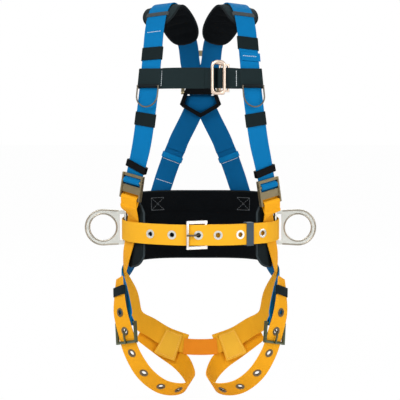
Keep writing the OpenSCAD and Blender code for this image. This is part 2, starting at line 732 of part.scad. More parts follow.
waist_rows = 30;
waist_cols = 18;
waist_reach = 7.6;
seam_width = 0.09;
function waist_frame(t) =
    let (s = at_waist(1 + waist_reach * abs(t), 0, 0), side = t < 0 ? -1 : 1, out = mirror_x(side, s[1]))
    [mirror_x(side, s[0]) + [0, 0, waist_pad_z], [out.y, -out.x, 0], out, [0, 0, -1]];
function seam_dent(v) =
    max([for (i = [1 : waist_channels - 1])
        0.6 * exp(-pow((v + 1 - 2 * i / waist_channels) / seam_width, 2))]);
function wing_taper(t) = max(0, (abs(t) - 0.7) / 0.3);
waist_pad_z = -4;
module waist_pad() {
    across = [for (i = [0 : waist_rows]) 2 * i / waist_rows - 1];
    color(black)
        padded([for (t = across) waist_frame(t)],
               [for (t = across) waist_pad_h / 2 * (1 - 0.4 * pow(wing_taper(t), 3))],
               [for (t = across) waist_pad_t + (wing_t - waist_pad_t) * min(1, abs(t) / 0.6)],
               [for (t = across) [for (k = [0 : waist_cols]) seam_dent(2 * k / waist_cols - 1)]],
               waist_cols);
}

dorsal_plate();
dorsal_ring();
chest_buckle_frame();
chest_buckle_insert();
waist_pad();
belt();
belt_grommets();
belt_buckle_frame();
belt_prong();
belt_keeper();
crotch_strap();
shoulder_strap(1);  // shoulder_strap_left
shoulder_strap(-1);  // shoulder_strap_right
back_strap(1);  // back_strap_left
back_strap(-1);  // back_strap_right
shoulder_pad(1);  // shoulder_pad_left
shoulder_pad(-1);  // shoulder_pad_right
pad_band(1);  // pad_band_left
pad_band(-1);  // pad_band_right
upper_keeper(1);  // upper_keeper_left
upper_keeper(-1);  // upper_keeper_right
lower_keeper(1);  // lower_keeper_left
lower_keeper(-1);  // lower_keeper_right
strap_slider(1);  // strap_slider_left
strap_slider(-1);  // strap_slider_right
adjuster_frame(1);  // adjuster_frame_left
adjuster_frame(-1);  // adjuster_frame_right
adjuster_bar(1);  // adjuster_bar_left
adjuster_bar(-1);  // adjuster_bar_right
adjuster_roll(1);  // adjuster_roll_left
adjuster_roll(-1);  // adjuster_roll_right
chest_strap(1);  // chest_strap_left
chest_strap(-1);  // chest_strap_right
lanyard_keeper(1);  // lanyard_keeper_left
lanyard_keeper(-1);  // lanyard_keeper_right
back_keeper(1);  // back_keeper_left
back_keeper(-1);  // back_keeper_right
hip_ring(1);  // hip_ring_left
hip_ring(-1);  // hip_ring_right
hip_strap(1);  // hip_strap_left
hip_strap(-1);  // hip_strap_right
seat_patch(1);  // seat_patch_left
seat_patch(-1);  // seat_patch_right
leg_strap(1);  // leg_strap_left
leg_strap(-1);  // leg_strap_right
leg_grommets(1);  // leg_grommets_left
leg_grommets(-1);  // leg_grommets_right
leg_buckle_frame(1);  // leg_buckle_frame_left
leg_buckle_frame(-1);  // leg_buckle_frame_right
leg_prong(1);  // leg_prong_left
leg_prong(-1);  // leg_prong_right
leg_keeper(1);  // leg_keeper_left
leg_keeper(-1);  // leg_keeper_right
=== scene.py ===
import math

import bmesh
import bpy
from mathutils import Matrix, Vector


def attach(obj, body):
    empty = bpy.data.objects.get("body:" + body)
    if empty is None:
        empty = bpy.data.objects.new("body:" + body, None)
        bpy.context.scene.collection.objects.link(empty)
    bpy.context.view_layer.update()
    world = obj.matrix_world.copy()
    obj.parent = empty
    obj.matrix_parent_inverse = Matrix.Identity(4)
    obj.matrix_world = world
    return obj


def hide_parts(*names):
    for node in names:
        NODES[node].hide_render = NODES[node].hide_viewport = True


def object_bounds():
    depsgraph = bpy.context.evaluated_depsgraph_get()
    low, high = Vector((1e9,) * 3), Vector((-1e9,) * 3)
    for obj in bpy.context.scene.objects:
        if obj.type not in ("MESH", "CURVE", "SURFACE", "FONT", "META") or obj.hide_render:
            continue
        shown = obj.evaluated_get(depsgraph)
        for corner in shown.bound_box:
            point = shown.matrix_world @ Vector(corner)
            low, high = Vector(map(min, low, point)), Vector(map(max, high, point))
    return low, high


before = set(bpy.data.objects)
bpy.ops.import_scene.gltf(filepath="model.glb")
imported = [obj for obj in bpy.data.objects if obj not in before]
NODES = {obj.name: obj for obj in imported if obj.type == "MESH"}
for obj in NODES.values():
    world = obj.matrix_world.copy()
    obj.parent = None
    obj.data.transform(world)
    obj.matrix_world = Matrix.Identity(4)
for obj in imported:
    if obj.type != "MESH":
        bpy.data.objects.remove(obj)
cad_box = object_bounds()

MM = 0.001
SIDES = {"left": 1, "right": -1}

# Sizes in millimetres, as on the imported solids
WEB_W = 44
WEB_T = 2.4
LAYER = 2.9
LAYER_GAP = 0.5
FIT_GAP = 0.4
EYE_LEAD = 16
BUCKLE_LEN = 38
BAR_R = 3
PIVOT_DROP = 8.3
WAIST_PAD_H = 152
WAIST_PAD_T = 15
WAIST_PAD_Z = -4
WING_T = 9
PAD_EDGE = 3.5
SHOULDER_PAD_W = 78
SHOULDER_PAD_T = 11
SHOULDER_RIBS = 9
ADJUSTER_WINDOW_H = 19
ADJUSTER_BAR_Z = -36.5
ROLL_LEAN = 42
ROLL_LEAD = 10
SLIDING_BAR_R = 3.2
CHEST_Z = 329
CHEST_Y = -121
CHEST_BAR_R = 2.6
CHEST_BAR_X = {1: 41, -1: 25}
CHEST_AT = 4.13
KEEPER_SLACK = 1.0
KEEPER_WALL = 1.2
LEG_KEEPER_SLACK = 1.8
RING_BAR_R = 3.5
FRONT_THREAD = 0.3
BACK_THREAD = 0.2


# Routes: a station is a place and an outward normal, for the wearer's left side
def vec(*numbers):
    return Vector(numbers)


def mirrored(side, v):
    return Vector((side * v.x, v.y, v.z))


def mirror_route(side, route):
    return [(mirrored(side, place), mirrored(side, out)) for place, out in route]


def stations(*rows):
    """Each row is the place and the outward normal of a station."""
    return [(vec(*row[:3]), vec(*row[3:])) for row in rows]


def smooth(p0, p1, p2, p3, t):
    """A smooth curve from p1 to p2, with p0 before it and p3 after it."""
    return 0.5 * (2 * p1 + (p2 - p0) * t + (2 * p0 - 5 * p1 + 4 * p2 - p3) * t ** 2
                  + (3 * p1 - p0 - 3 * p2 + p3) * t ** 3)


def curve_at(points, u):
    last = len(points) - 1
    i = max(0, min(math.floor(u), last - 1))
    before = points[i - 1] if i > 0 else 2 * points[0] - points[1]
    after = points[i + 2] if i + 2 <= last else 2 * points[last] - points[last - 1]
    return smooth(before, points[i], points[i + 1], after, u - i)


class Place:
    """A place on a strap, with the directions along it, out of its face and across it."""

    def __init__(self, at, along, out):
        self.at = at
        self.along = along.normalized()
        self.out = (out - out.dot(self.along) * self.along).normalized()
        self.across = self.out.cross(self.along)

    def point(self, across=0, out=0, along=0):
        return self.at + self.across * across + self.out * out + self.along * along

    def moved(self, across=0, out=0, along=0):
        return Place(self.point(across, out, along), self.along, self.out)

    def matrix(self):
        rows = zip(self.across, self.out, self.along, self.at * MM)
        return Matrix([list(row) for row in rows] + [[0, 0, 0, 1]])


NEAR = 0.02


def heading(points, u):
    """The direction of a run of points at u, from two places close by."""
    return curve_at(points, min(u + NEAR, len(points) - 1)) - curve_at(points, max(u - NEAR, 0))


def place_on(route, u):
    places = [place for place, out in route]
    outs = [out for place, out in route]
    return Place(curve_at(places, u), heading(places, u), curve_at(outs, u))


def span_places(route, span, count):
    """Places spread evenly over a span of a route."""
    start, end = span
    return [place_on(route, start + (end - start) * i / count) for i in range(count + 1)]


WAIST_PLAN = [vec(-60, 121.5, 0), vec(0, 122, 0), vec(60, 121.5, 0), vec(104, 109, 0), vec(138, 76, 0),
              vec(154, 34, 0), vec(156, -8, 0), vec(150, -46, 0), vec(130, -78, 0),
              vec(115, -97, 0)]
CORNER_EASE = 1.5
WING_EASE = 0.3
BELT_EASE = 1.6
UNDER_BELT = WAIST_PAD_T / 2 + LAYER_GAP + WEB_T / 2
UNDER_CORNER = UNDER_BELT - CORNER_EASE
UNDER_WING = WING_T / 2 + LAYER_GAP + WEB_T / 2 + WING_EASE
BELT_OFF = WING_T / 2 + 2 * FIT_GAP + 2 * RING_BAR_R + WEB_T / 2 + BELT_EASE


def waist_out(u):
    along = heading(WAIST_PLAN, u)
    return vec(-along.y, along.x, 0).normalized()


def at_waist(u, off, z):
    """A station at a distance off the waist's plan and at a height."""
    out = waist_out(u)
    return curve_at(WAIST_PLAN, u) + out * off + vec(0, 0, z), out


ADJUSTER_X = 145
ADJUSTER_Y = -92
ADJUSTER_Z = {1: 100, -1: 110}
ADJUSTER_OUT = vec(0.6, -0.8, 0)
ADJUSTER_LEAN = vec(-0.25, 0.03, 1)


def adjuster_place(side):
    mid = vec(side * ADJUSTER_X, ADJUSTER_Y, ADJUSTER_Z[side])
    out = mirrored(side, ADJUSTER_OUT)
    lean = mirrored(side, ADJUSTER_LEAN)
    return Place(mid, lean - lean.dot(out) * out, out)


SHOULDER_STATIONS = stations(
    (132, -99, 155, 0.52, -0.85, 0),
    (123, -108, 197, 0.44, -0.9, 0),
    (114, -112, 260, 0.41, -0.91, 0.05),
    (107, -106, 320, 0.39, -0.9, 0.2),
    (102, -88, 380, 0.37, -0.86, 0.35),
    (97, -58, 440, 0.33, -0.7, 0.6),
    (88, -22, 478, 0.22, -0.35, 0.9),
    (73, 15, 489, 0.05, 0.15, 0.98),
    (52, 62, 460, -0.02, 0.65, 0.75),
    (30, 100, 410, 0, 0.9, 0.36),
    (23, 113.5, 362, 0, 0.98, 0.15),
    (14.5, 118, 328, 0, 1, 0.03),
    (3, 118.5, 296, 0, 1, 0),
    (-11, 119, 266, 0, 1, 0),
    (-26, 119, 234, 0, 1, 0),
    (-48, 119.5, 190, 0, 1, 0),
    (-57, 120, 166, 0, 1, 0))
CROSSING = range(11, 16)
CROSSING_EASE = 0.8
CROSSING_LIFT = LAYER + CROSSING_EASE
STRAP_CLEAR = 6.4
STRAP_START = ADJUSTER_WINDOW_H / 2 + STRAP_CLEAR
STRAP_BEHIND = 4.6


def shoulder_route(side):
    """From the adjuster over the shoulder to the back. The right strap passes behind the left one."""
    adjuster = adjuster_place(side)
    start = adjuster.point(0, -STRAP_BEHIND, STRAP_START)
    route = [(start, adjuster.out)] + mirror_route(side, SHOULDER_STATIONS)
    if side < 0:
        for i in CROSSING:
            route[i] = (route[i][0] + vec(0, CROSSING_LIFT, 0), route[i][1])
    return route


LEG_ROUTE = stations(
    (137, 78, -245, 0.6, 0.77, -0.2),
    (88, 98, -286, 0.15, 0.96, -0.25),
    (47, 76, -312, -0.45, 0.85, -0.25),
    (25, 34, -334, -0.9, 0.3, -0.3),
    (25, -12, -346, -0.75, -0.3, -0.55),
    (48, -48, -350, -0.25, -0.7, -0.65),
    (85, -76, -337, 0.1, -0.85, -0.5),
    (120, -98, -304, 0.32, -0.88, -0.35),
    (146, -108, -258, 0.56, -0.82, -0.1),
    (159.5, -110.5, -214, 0.64, -0.77, 0),
    (171, -107.5, -169, 0.72, -0.69, 0),
    (174, -94, -126, 0.87, -0.49, 0),
    (174, -84, -98, 0.93, -0.36, 0))
LEG_BUCKLE_AT = 9


def leg_route(side):
    return mirror_route(side, LEG_ROUTE)


def leg_place(side):
    return place_on(leg_route(side), LEG_BUCKLE_AT)


BACK_STATIONS = stations(
    (-51, 120 + LAYER, 182, 0, 1, 0),
    (-66, 122 + LAYER, 146, 0, 1, 0),
    (-79, 121 + UNDER_BELT, 110, 0, 1, 0)) + mirror_route(-1, [
        at_waist(2.7, UNDER_BELT, 62),
        at_waist(3.25, UNDER_CORNER, 10),
        at_waist(3.85, UNDER_CORNER, -40),
        at_waist(4.5, UNDER_CORNER, -82)]) + stations(
    (-168, 28, -100, -1, 0.1, 0),
    (-173, -8, -110, -1, -0.1, 0),
    (-170, -40, -118, -0.97, -0.25, 0),
    (-165, -66, -136, -0.9, -0.45, 0))
EYE_LAP = 3
TURN_RISE = 12
TURN_IN = 8
TURN_BACK = 4


def buckle_pivot(buckle):
    """The bar that the strap of a tongue buckle is sewn round."""
    return buckle.moved(0, -PIVOT_DROP, BUCKLE_LEN / 2)


def back_route(side):
    """From the shoulder strap's end round the hip to the leg buckle of the other side."""
    pivot = buckle_pivot(leg_place(-side))
    turn = pivot.point(0, -TURN_IN, EYE_LEAD + TURN_RISE) + vec(0, TURN_BACK, 0)
    end = pivot.point(0, 0, EYE_LEAD - EYE_LAP)
    return mirror_route(side, BACK_STATIONS) + [(turn, pivot.out), (end, pivot.out)]


HIP_STATIONS = [at_waist(7.54, UNDER_WING - 0.1, 27), at_waist(7.3, UNDER_WING + 0.3, 0),
                at_waist(7.12, UNDER_WING, -24)] + stations(
    (163, -40, -64, 0.96, -0.28, 0),
    (168, -8, -106, 1, 0.05, 0),
    (154, 34, -158, 0.82, 0.57, 0),
    (142, 54, -211, 0.8, 0.6, -0.1),
    (112, 82, -237, 0.42, 0.88, -0.2),
    (78, 92, -260, 0.15, 0.96, -0.2),
    (33, 78, -274, -0.2, 0.96, -0.2))
HIP_LEAD = 7


def hip_route(side):
    """From the adjuster's lower bar round the thigh to the crotch link."""
    adjuster = adjuster_place(side)
    eye_end = ADJUSTER_BAR_Z - EYE_LEAD
    start = [(adjuster.point(0, 0, along), adjuster.out) for along in (eye_end + EYE_LAP, eye_end - HIP_LEAD)]
    return start + mirror_route(side, HIP_STATIONS)


BUCKLE_X = -8
BUCKLE_Y = -140
BELT_LEAD = 9
BELT_FROM = 8
BELT_STEP = 0.75
BELT_STATIONS = 9
BELT_SIDE = [at_waist(BELT_FROM - BELT_STEP * i, BELT_OFF, 0) for i in range(BELT_STATIONS)]
BELT_ROUTE = (
    stations((BUCKLE_X + BUCKLE_LEN / 2 + BELT_LEAD, BUCKLE_Y + PIVOT_DROP, 0, 0, -1, 0),
             (62, -128, 0, 0.3, -0.95, 0),
             (106, -109, 0, 0.5, -0.86, 0))
    + BELT_SIDE + [at_waist(1, BELT_OFF, 0)] + mirror_route(-1, BELT_SIDE[::-1])
    + stations((-108, -113, 0, -0.5, -0.86, 0),
               (-62, -133, 0, -0.25, -0.96, 0),
               (BUCKLE_X - BUCKLE_LEN / 2, BUCKLE_Y, 0, 0, -1, 0),
               (BUCKLE_X + BUCKLE_LEN / 2, BUCKLE_Y, 0, 0, -1, 0),
               (64, -135.5, 0, 0.25, -0.96, 0),
               (110, -114.5, 0, 0.55, -0.84, 0),
               (143, -93, 0, 0.66, -0.75, 0)))
BELT_PLACE = Place(vec(BUCKLE_X, BUCKLE_Y, 0), vec(1, 0, 0), vec(0, -1, 0))

CROTCH_ROUTE = stations(
    (-38, 73, -278, -0.2, 0.96, -0.2),
    (-16, 68, -279, -0.1, 0.98, -0.2),
    (16, 68, -279, 0.1, 0.98, -0.2),
    (38, 73, -278, 0.2, 0.96, -0.2))
CROTCH_W = 36


# Materials
def new_material(name, roughness, metallic=0.0):
    material = bpy.data.materials.new(name)
    material.use_nodes = True
    shader = material.node_tree.nodes["Principled BSDF"]
    shader.inputs["Roughness"].default_value = roughness
    shader.inputs["Metallic"].default_value = metallic
    return material, material.node_tree, shader


def add_node(tree, kind, inputs=None, **settings):
    node = tree.nodes.new(kind)
    for name, value in settings.items():
        setattr(node, name, value)
    for name, value in (inputs or {}).items():
        node.inputs[name].default_value = value
    return node


def own_place(tree):
    return add_node(tree, "ShaderNodeTexCoord").outputs["Object"]


def linear(red, green, blue):
    """A colour in steps of 0 to 255, as linear light."""
    def channel(value):
        share = value / 255
        return share / 12.92 if share <= 0.04045 else ((share + 0.055) / 1.055) ** 2.4
    return (channel(red), channel(green), channel(blue), 1)


def shaded(colour, share):
    return (colour[0] * share, colour[1] * share, colour[2] * share, 1)


WAVE_PERIOD = 2 * math.pi / 20


def bands(tree, coordinate, pitch, direction):
    """Soft bands at a pitch. The wave has its own period at a scale of one."""
    inputs = {"Scale": WAVE_PERIOD / (pitch * MM), "Distortion": 0.6, "Detail Scale": 2}
    wave = add_node(tree, "ShaderNodeTexWave", inputs, bands_direction=direction)
    tree.links.new(coordinate, wave.inputs["Vector"])
    return wave.outputs["Fac"]


def mix_colours(tree, share, low, high):
    mix = add_node(tree, "ShaderNodeMix", data_type="RGBA")
    tree.links.new(share, mix.inputs["Factor"])
    for socket, value in ((mix.inputs["A"], low), (mix.inputs["B"], high)):
        if isinstance(value, tuple):
            socket.default_value = value
        else:
            tree.links.new(value, socket)
    return mix.outputs["Result"]


def paint(tree, shader, share, low, high):
    """Colours a shader between two colours, by a share."""
    tree.links.new(mix_colours(tree, share, low, high), shader.inputs["Base Color"])


def math_node(tree, operation, *values):
    node = add_node(tree, "ShaderNodeMath", operation=operation)
    for socket, value in zip(node.inputs, values):
        if isinstance(value, (int, float)):
            socket.default_value = value
        else:
            tree.links.new(value, socket)
    return node.outputs["Value"]


def noise(tree, coordinate, scale, detail=3):
    texture = add_node(tree, "ShaderNodeTexNoise", {"Scale": scale, "Detail": detail})
    tree.links.new(coordinate, texture.inputs["Vector"])
    return texture.outputs["Fac"]


def add_bump(tree, shader, height, strength, distance):
    bump = add_node(tree, "ShaderNodeBump", {"Strength": strength, "Distance": distance * MM})
    tree.links.new(height, bump.inputs["Height"])
    tree.links.new(bump.outputs["Normal"], shader.inputs["Normal"])


MATT = 0.08
RIB_PITCH = 1.5
YARN_SPREAD = 1.3
WEAR = 0.22


def webbing_material(name, colour, pitch=RIB_PITCH):
    """Plain-woven webbing on a UV map in metres: across in U and along in V."""
    material, tree, shader = new_material(name, roughness=0.72)
    uv = add_node(tree, "ShaderNodeUVMap", uv_map="web").outputs["UV"]
    spot = own_place(tree)
    ribs = bands(tree, uv, pitch, "Y")
    yarns = bands(tree, uv, pitch * YARN_SPREAD, "X")
    weave = math_node(tree, "MULTIPLY", ribs, yarns)
    yarn_colour = mix_colours(tree, weave, shaded(colour, share=0.78), colour)
    worn = math_node(tree, "MULTIPLY", noise(tree, spot, scale=14), WEAR)
    paint(tree, shader, worn, yarn_colour, shaded(colour, share=0.45))
    add_bump(tree, shader, weave, strength=0.5, distance=0.35)
    shader.inputs["Specular IOR Level"].default_value = MATT
    return material


RUB_SPREAD = 0.25
RUB_POLISH = 0.1


def metal_material(name, colour, roughness):
    """Plated steel with faint clouds and fine rubbing."""
    material, tree, shader = new_material(name, roughness, metallic=1.0)
    spot = own_place(tree)
    cloud = noise(tree, spot, scale=35)
    paint(tree, shader, cloud, shaded(colour, share=0.78), colour)
    rub = noise(tree, spot, scale=900, detail=6)
    spread = math_node(tree, "MULTIPLY_ADD", rub, RUB_SPREAD, roughness - RUB_POLISH)
    tree.links.new(spread, shader.inputs["Roughness"])
    add_bump(tree, shader, rub, strength=0.12, distance=0.15)
    return material


def plastic_material(name, colour, roughness, shine=0.25):
    """Moulded plastic with a fine grain."""
    material, tree, shader = new_material(name, roughness)
    spot = own_place(tree)
    grain = noise(tree, spot, scale=1400, detail=4)
    cloud = noise(tree, spot, scale=60)
    paint(tree, shader, cloud, shaded(colour, share=0.8), colour)
    add_bump(tree, shader, grain, strength=0.15, distance=0.1)
    shader.inputs["Specular IOR Level"].default_value = shine
    return material


def cover_material(name, colour):
    """Knitted cover of the pads, with a fine cell mesh."""
    material, tree, shader = new_material(name, roughness=0.85)
    spot = own_place(tree)
    cells = add_node(tree, "ShaderNodeTexVoronoi", {"Scale": 420})
    tree.links.new(spot, cells.inputs["Vector"])
    height = cells.outputs["Distance"]
    knit = mix_colours(tree, height, colour, shaded(colour, share=1.7))
    dust = noise(tree, spot, scale=22)
    paint(tree, shader, dust, knit, shaded(colour, share=0.75))
    add_bump(tree, shader, height, strength=0.45, distance=0.5)
    shader.inputs["Specular IOR Level"].default_value = MATT
    return material


def thread_material(name, colour):
    """Sewing thread with a twist."""
    material, tree, shader = new_material(name, roughness=0.6)
    spot = own_place(tree)
    twist = noise(tree, spot, scale=1500)
    paint(tree, shader, twist, shaded(colour, share=0.75), colour)
    add_bump(tree, shader, twist, strength=0.3, distance=0.2)
    return material


BLUE = webbing_material("blue_webbing", linear(0, 117, 178))
# A darker copy of the blue webbing: painted shade on the faces of the straps that lie in shadow
BLUE_PAINTED_SHADE = webbing_material("blue_webbing_painted_shade", linear(0, 94, 149))
GOLD = webbing_material("gold_webbing", linear(255, 176, 30))
# A lighter copy of the gold webbing: painted light on the inner faces of the hip straps, where they show at
# the seat
SEAT_GOLD_PAINTED_LIGHT = webbing_material("seat_webbing_painted_light", linear(255, 185, 42))
PATCH_GOLD = webbing_material("patch_webbing", linear(255, 196, 62))
# A yellower copy of the gold webbing: painted highlight for the belt
BELT_GOLD_PAINTED_HIGHLIGHT = webbing_material("belt_webbing_painted_highlight", linear(253, 184, 42))
# A darker, oranger copy of the gold webbing: painted shade for the crotch link
GOLD_PAINTED_SHADE = webbing_material("gold_webbing_painted_shade", linear(250, 150, 36))
CHEST_BLACK = webbing_material("black_webbing", linear(28, 41, 43))
ELASTIC = webbing_material("black_elastic", linear(20, 32, 34), pitch=2.2)
GREY_BAND = webbing_material("grey_band", linear(74, 80, 82))
PAD_BLACK = cover_material("pad_knit", linear(6, 9, 12))
WING_GREY = cover_material("wing_knit", linear(34, 43, 45))
WAIST_KNIT = cover_material("waist_knit", linear(21, 28, 30))
PIPING = cover_material("grey_piping", linear(48, 56, 59))
BINDING = cover_material("black_binding", linear(24, 29, 31))
WHITE_THREAD = thread_material("white_thread", linear(225, 232, 236))
GREY_THREAD = thread_material("grey_thread", linear(92, 98, 102))
GOLD_THREAD = thread_material("gold_thread", linear(255, 196, 80))
RING_STEEL = metal_material("ring_steel", linear(236, 236, 228), 0.3)
# A darker copy of the ring steel: painted shade that draws dark lines round the hip rings' eyes and outlines
RIM_PAINTED_SHADE_STEEL = metal_material("ring_steel_painted_shade", linear(176, 168, 154), 0.3)
BELT_STEEL = metal_material("belt_buckle_steel", linear(244, 238, 232), 0.26)
CHEST_STEEL = metal_material("chest_buckle_steel", linear(252, 228, 208), 0.3)
ZINC = metal_material("zinc_steel", linear(158, 144, 112), 0.38)
WIRE = metal_material("wire_steel", linear(112, 104, 92), 0.4)
OLIVE = metal_material("leg_buckle_steel", linear(108, 116, 92), 0.4)
BRONZE = metal_material("grommet_bronze", linear(118, 104, 82), 0.35)
PLATE_BLACK = plastic_material("plate_plastic", linear(6, 7, 9), 0.4, shine=MATT)
SLATE = plastic_material("slate_plastic", linear(60, 74, 84), 0.45)


# Making pieces
def new_mesh(name, bm):
    mesh = bpy.data.meshes.new(name)
    bm.to_mesh(mesh)
    bm.free()
    return mesh


def in_scene(name, data):
    thing = bpy.data.objects.new(name, data)
    bpy.context.scene.collection.objects.link(thing)
    return thing


def new_object(name, bm, material, body):
    for face in bm.faces:
        face.smooth = True
    mesh = new_mesh(name, bm)
    mesh.materials.append(material)
    piece = in_scene(name, mesh)
    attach(piece, body)
    return piece


def add_edge_bevel(piece, width, degrees=40):
    bevel = piece.modifiers.new("edge", "BEVEL")
    bevel.width = width * MM
    bevel.segments = 2
    bevel.limit_method = "ANGLE"
    bevel.angle_limit = math.radians(degrees)
    bevel.harden_normals = True


def add_thickness(piece, thickness, offset=0.0):
    solid = piece.modifiers.new("thickness", "SOLIDIFY")
    solid.thickness = thickness * MM
    solid.offset = offset
    solid.use_even_offset = True


SAME_PLACE = 0.01


def lay_grid(bm, rows, closed=False):
    """Lays a grid on rows of points, with a UV map in metres. A closed row meets its own start."""
    count = len(rows[0]) + (1 if closed else 0)
    bmesh.ops.create_grid(bm, x_segments=count - 1, y_segments=len(rows) - 1, size=0.5)
    uv = bm.loops.layers.uv.new("web")
    wide = [0.0]
    for i in range(1, count):
        wide.append(wide[-1] + (rows[0][i % len(rows[0])] - rows[0][i - 1]).length * MM)
    middle = len(rows[0]) // 2
    run = [0.0]
    for k in range(1, len(rows)):
        run.append(run[-1] + (rows[k][middle] - rows[k - 1][middle]).length * MM)
    for vert in bm.verts:
        i = round((vert.co.x + 0.5) * (count - 1))
        k = round((vert.co.y + 0.5) * (len(rows) - 1))
        for loop in vert.link_loops:
            loop[uv].uv = (wide[i], run[k])
        vert.co = rows[k][i % len(rows[0])] * MM
    if closed:
        bmesh.ops.remove_doubles(bm, verts=bm.verts, dist=SAME_PLACE * MM)
    bmesh.ops.recalc_face_normals(bm, faces=bm.faces)


WEB_COLUMNS = 6
ROW_STEP = 7
LEAST_ROWS = 3
LENGTH_STEPS = 200
WEB_EDGE = 0.6


def web_rows(places, width, out=0.0, shift=0.0):
    half = width / 2
    return [[place.point(shift + half * (2 * i / WEB_COLUMNS - 1), out) for i in range(WEB_COLUMNS + 1)]
            for place in places]


def route_places(route):
    """Places along a whole route, about a row step apart."""
    last = len(route) - 1
    points = [place for place, out in route]
    fine = [curve_at(points, last * i / LENGTH_STEPS) for i in range(LENGTH_STEPS + 1)]
    length = sum((b - a).length for a, b in zip(fine, fine[1:]))
    count = max(LEAST_ROWS, round(length / ROW_STEP))
    return span_places(route, (0, last), count)


def webbing(name, places, material, body, width=WEB_W, thickness=WEB_T, out=0.0, shift=0.0,
            inside=None):
    """A strap along places. Where an inside is given, the face that lies to the body is made of it: a copy of
    the webbing painted darker or lighter, as painted shade or painted light.
    """
    bm = bmesh.new()
    lay_grid(bm, web_rows(places, width, out, shift))
    bm.faces.ensure_lookup_table()
    if bm.faces[0].normal.dot(places[0].out) < 0:
        bmesh.ops.reverse_faces(bm, faces=bm.faces)
    piece = new_object(name, bm, material, body)
    add_thickness(piece, thickness)
    if inside:
        piece.data.materials.append(inside)
        piece.modifiers["thickness"].material_offset = 1
    add_edge_bevel(piece, WEB_EDGE)
    return piece


def arc(radius, first, sweep, steps):
    """Points round a circle, from a first angle over a sweep in degrees."""
    angles = [math.radians(first + sweep * i / steps) for i in range(steps + 1)]
    return [(radius * math.cos(angle), radius * math.sin(angle)) for angle in angles]


BAND_BEND = 5
BAND_ROWS = 4
BAND_EDGE = 0.4
BEND_STEPS = 4


def band(name, place, width, depth, wall, length, material, body):
    """A sewn band round webbing: a rounded rectangle, drawn along the strap."""
    corner = min(depth, BAND_BEND) / 2
    outline = []
    for x, y, turn in ((1, 1, 0), (-1, 1, 90), (-1, -1, 180), (1, -1, 270)):
        for over, up in arc(corner, turn, 90, BEND_STEPS):
            outline.append((x * (width / 2 - corner) + over, y * (depth / 2 - corner) + up))
    rows = [[place.point(x, y, length * (k / BAND_ROWS - 0.5)) for x, y in outline]
            for k in range(BAND_ROWS + 1)]
    bm = bmesh.new()
    lay_grid(bm, rows, closed=True)
    piece = new_object(name, bm, material, body)
    add_thickness(piece, wall, offset=1.0)
    add_edge_bevel(piece, BAND_EDGE)
    return piece


EYE_EASE = 0.1
EYE_TURN_FROM = 15
EYE_TURN = -210
EYE_TURN_STEPS = 12


def eye_places(place, bar_r, lead):
    """The way of a strap end round a bar and back, in the frame of the bar: it leaves along the strap."""
    turn_r = bar_r + FIT_GAP + EYE_EASE + WEB_T / 2
    turn = arc(turn_r, EYE_TURN_FROM, EYE_TURN, EYE_TURN_STEPS)
    points = [(WEB_T / 2, lead)] + turn + [(-WEB_T / 2, lead)]
    places = []
    for i, (out, along) in enumerate(points):
        before = points[max(i - 1, 0)]
        after = points[min(i + 1, len(points) - 1)]
        way = place.out * (after[0] - before[0]) + place.along * (after[1] - before[1])
        places.append(Place(place.point(0, out, along), way, place.across.cross(way) * -1))
    return places


EYE_W = WEB_W - 1
TAIL_W = 44
TAIL_SHIFT = 5


def tail_places(place, points):
    """The way of a loose strap end past a fitting: each point is a distance along and a distance out."""
    return route_places([(place.point(0, out, along), place.out) for along, out in points])


def strap_eye(name, place, bar_r, material, body, lead=EYE_LEAD, gap=0):
    """A strap end sewn round a bar, in two halves where a prong needs a gap."""
    places = eye_places(place, bar_r, lead)
    if gap == 0:
        return [webbing(name, places, material, body, EYE_W)]
    half = (EYE_W - gap) / 2
    return [webbing(f"{name}_{end}", places, material, body, half, shift=way * (gap + half) / 2)
            for end, way in (("near", -1), ("far", 1))]


STITCH_LEN = 3.4
STITCH_W = 1.1
STITCH_H = 0.7
STITCH_PITCH = STITCH_LEN * 1.3
STITCH_EDGE = 0.3


def stitches(name, lines, material, body):
    """Thread along lines on a surface: each line is a start, an end and the surface's outward normal."""
    bm = bmesh.new()
    for start, end, out in lines:
        run = end - start
        count = max(1, round(run.length / STITCH_PITCH))
        for i in range(count):
            place = Place(start + run * (i + 0.5) / count, run, out)
            sized = Matrix.Diagonal((STITCH_W * MM, STITCH_H * MM, STITCH_LEN * MM, 1))
            bmesh.ops.create_cube(bm, size=1, matrix=place.matrix() @ sized)
    piece = new_object(name, bm, material, body)
    add_edge_bevel(piece, STITCH_EDGE)
    return piece


def tack_lines(place, half, out):
    """One row of stitches across a strap."""
    face = 1 if out > 0 else -1
    return [(place.point(-half, out), place.point(half, out), place.out * face)]


def box_lines(corners, out):
    """A sewn box on four corners in order."""
    return [(p, q, out) for p, q in zip(corners, corners[1:] + corners[:1])]


def tube(name, points, radius, material, body, cyclic=False):
    curve = bpy.data.curves.new(name, "CURVE")
    curve.dimensions = "3D"
    curve.bevel_depth = radius * MM
    curve.bevel_resolution = 3
    curve.use_fill_caps = not cyclic
    spline = curve.splines.new("POLY")
    spline.points.add(len(points) - 1)
    for target, point in zip(spline.points, points):
        target.co = (*(point * MM), 1)
    spline.use_cyclic_u = cyclic
    holder = bpy.data.objects.new(name + "_path", curve)
    mesh = bpy.data.meshes.new_from_object(holder)
    bm = bmesh.new()
    bm.from_mesh(mesh)
    bpy.data.objects.remove(holder)
    bpy.data.meshes.remove(mesh)
    return new_object(name, bm, material, body)


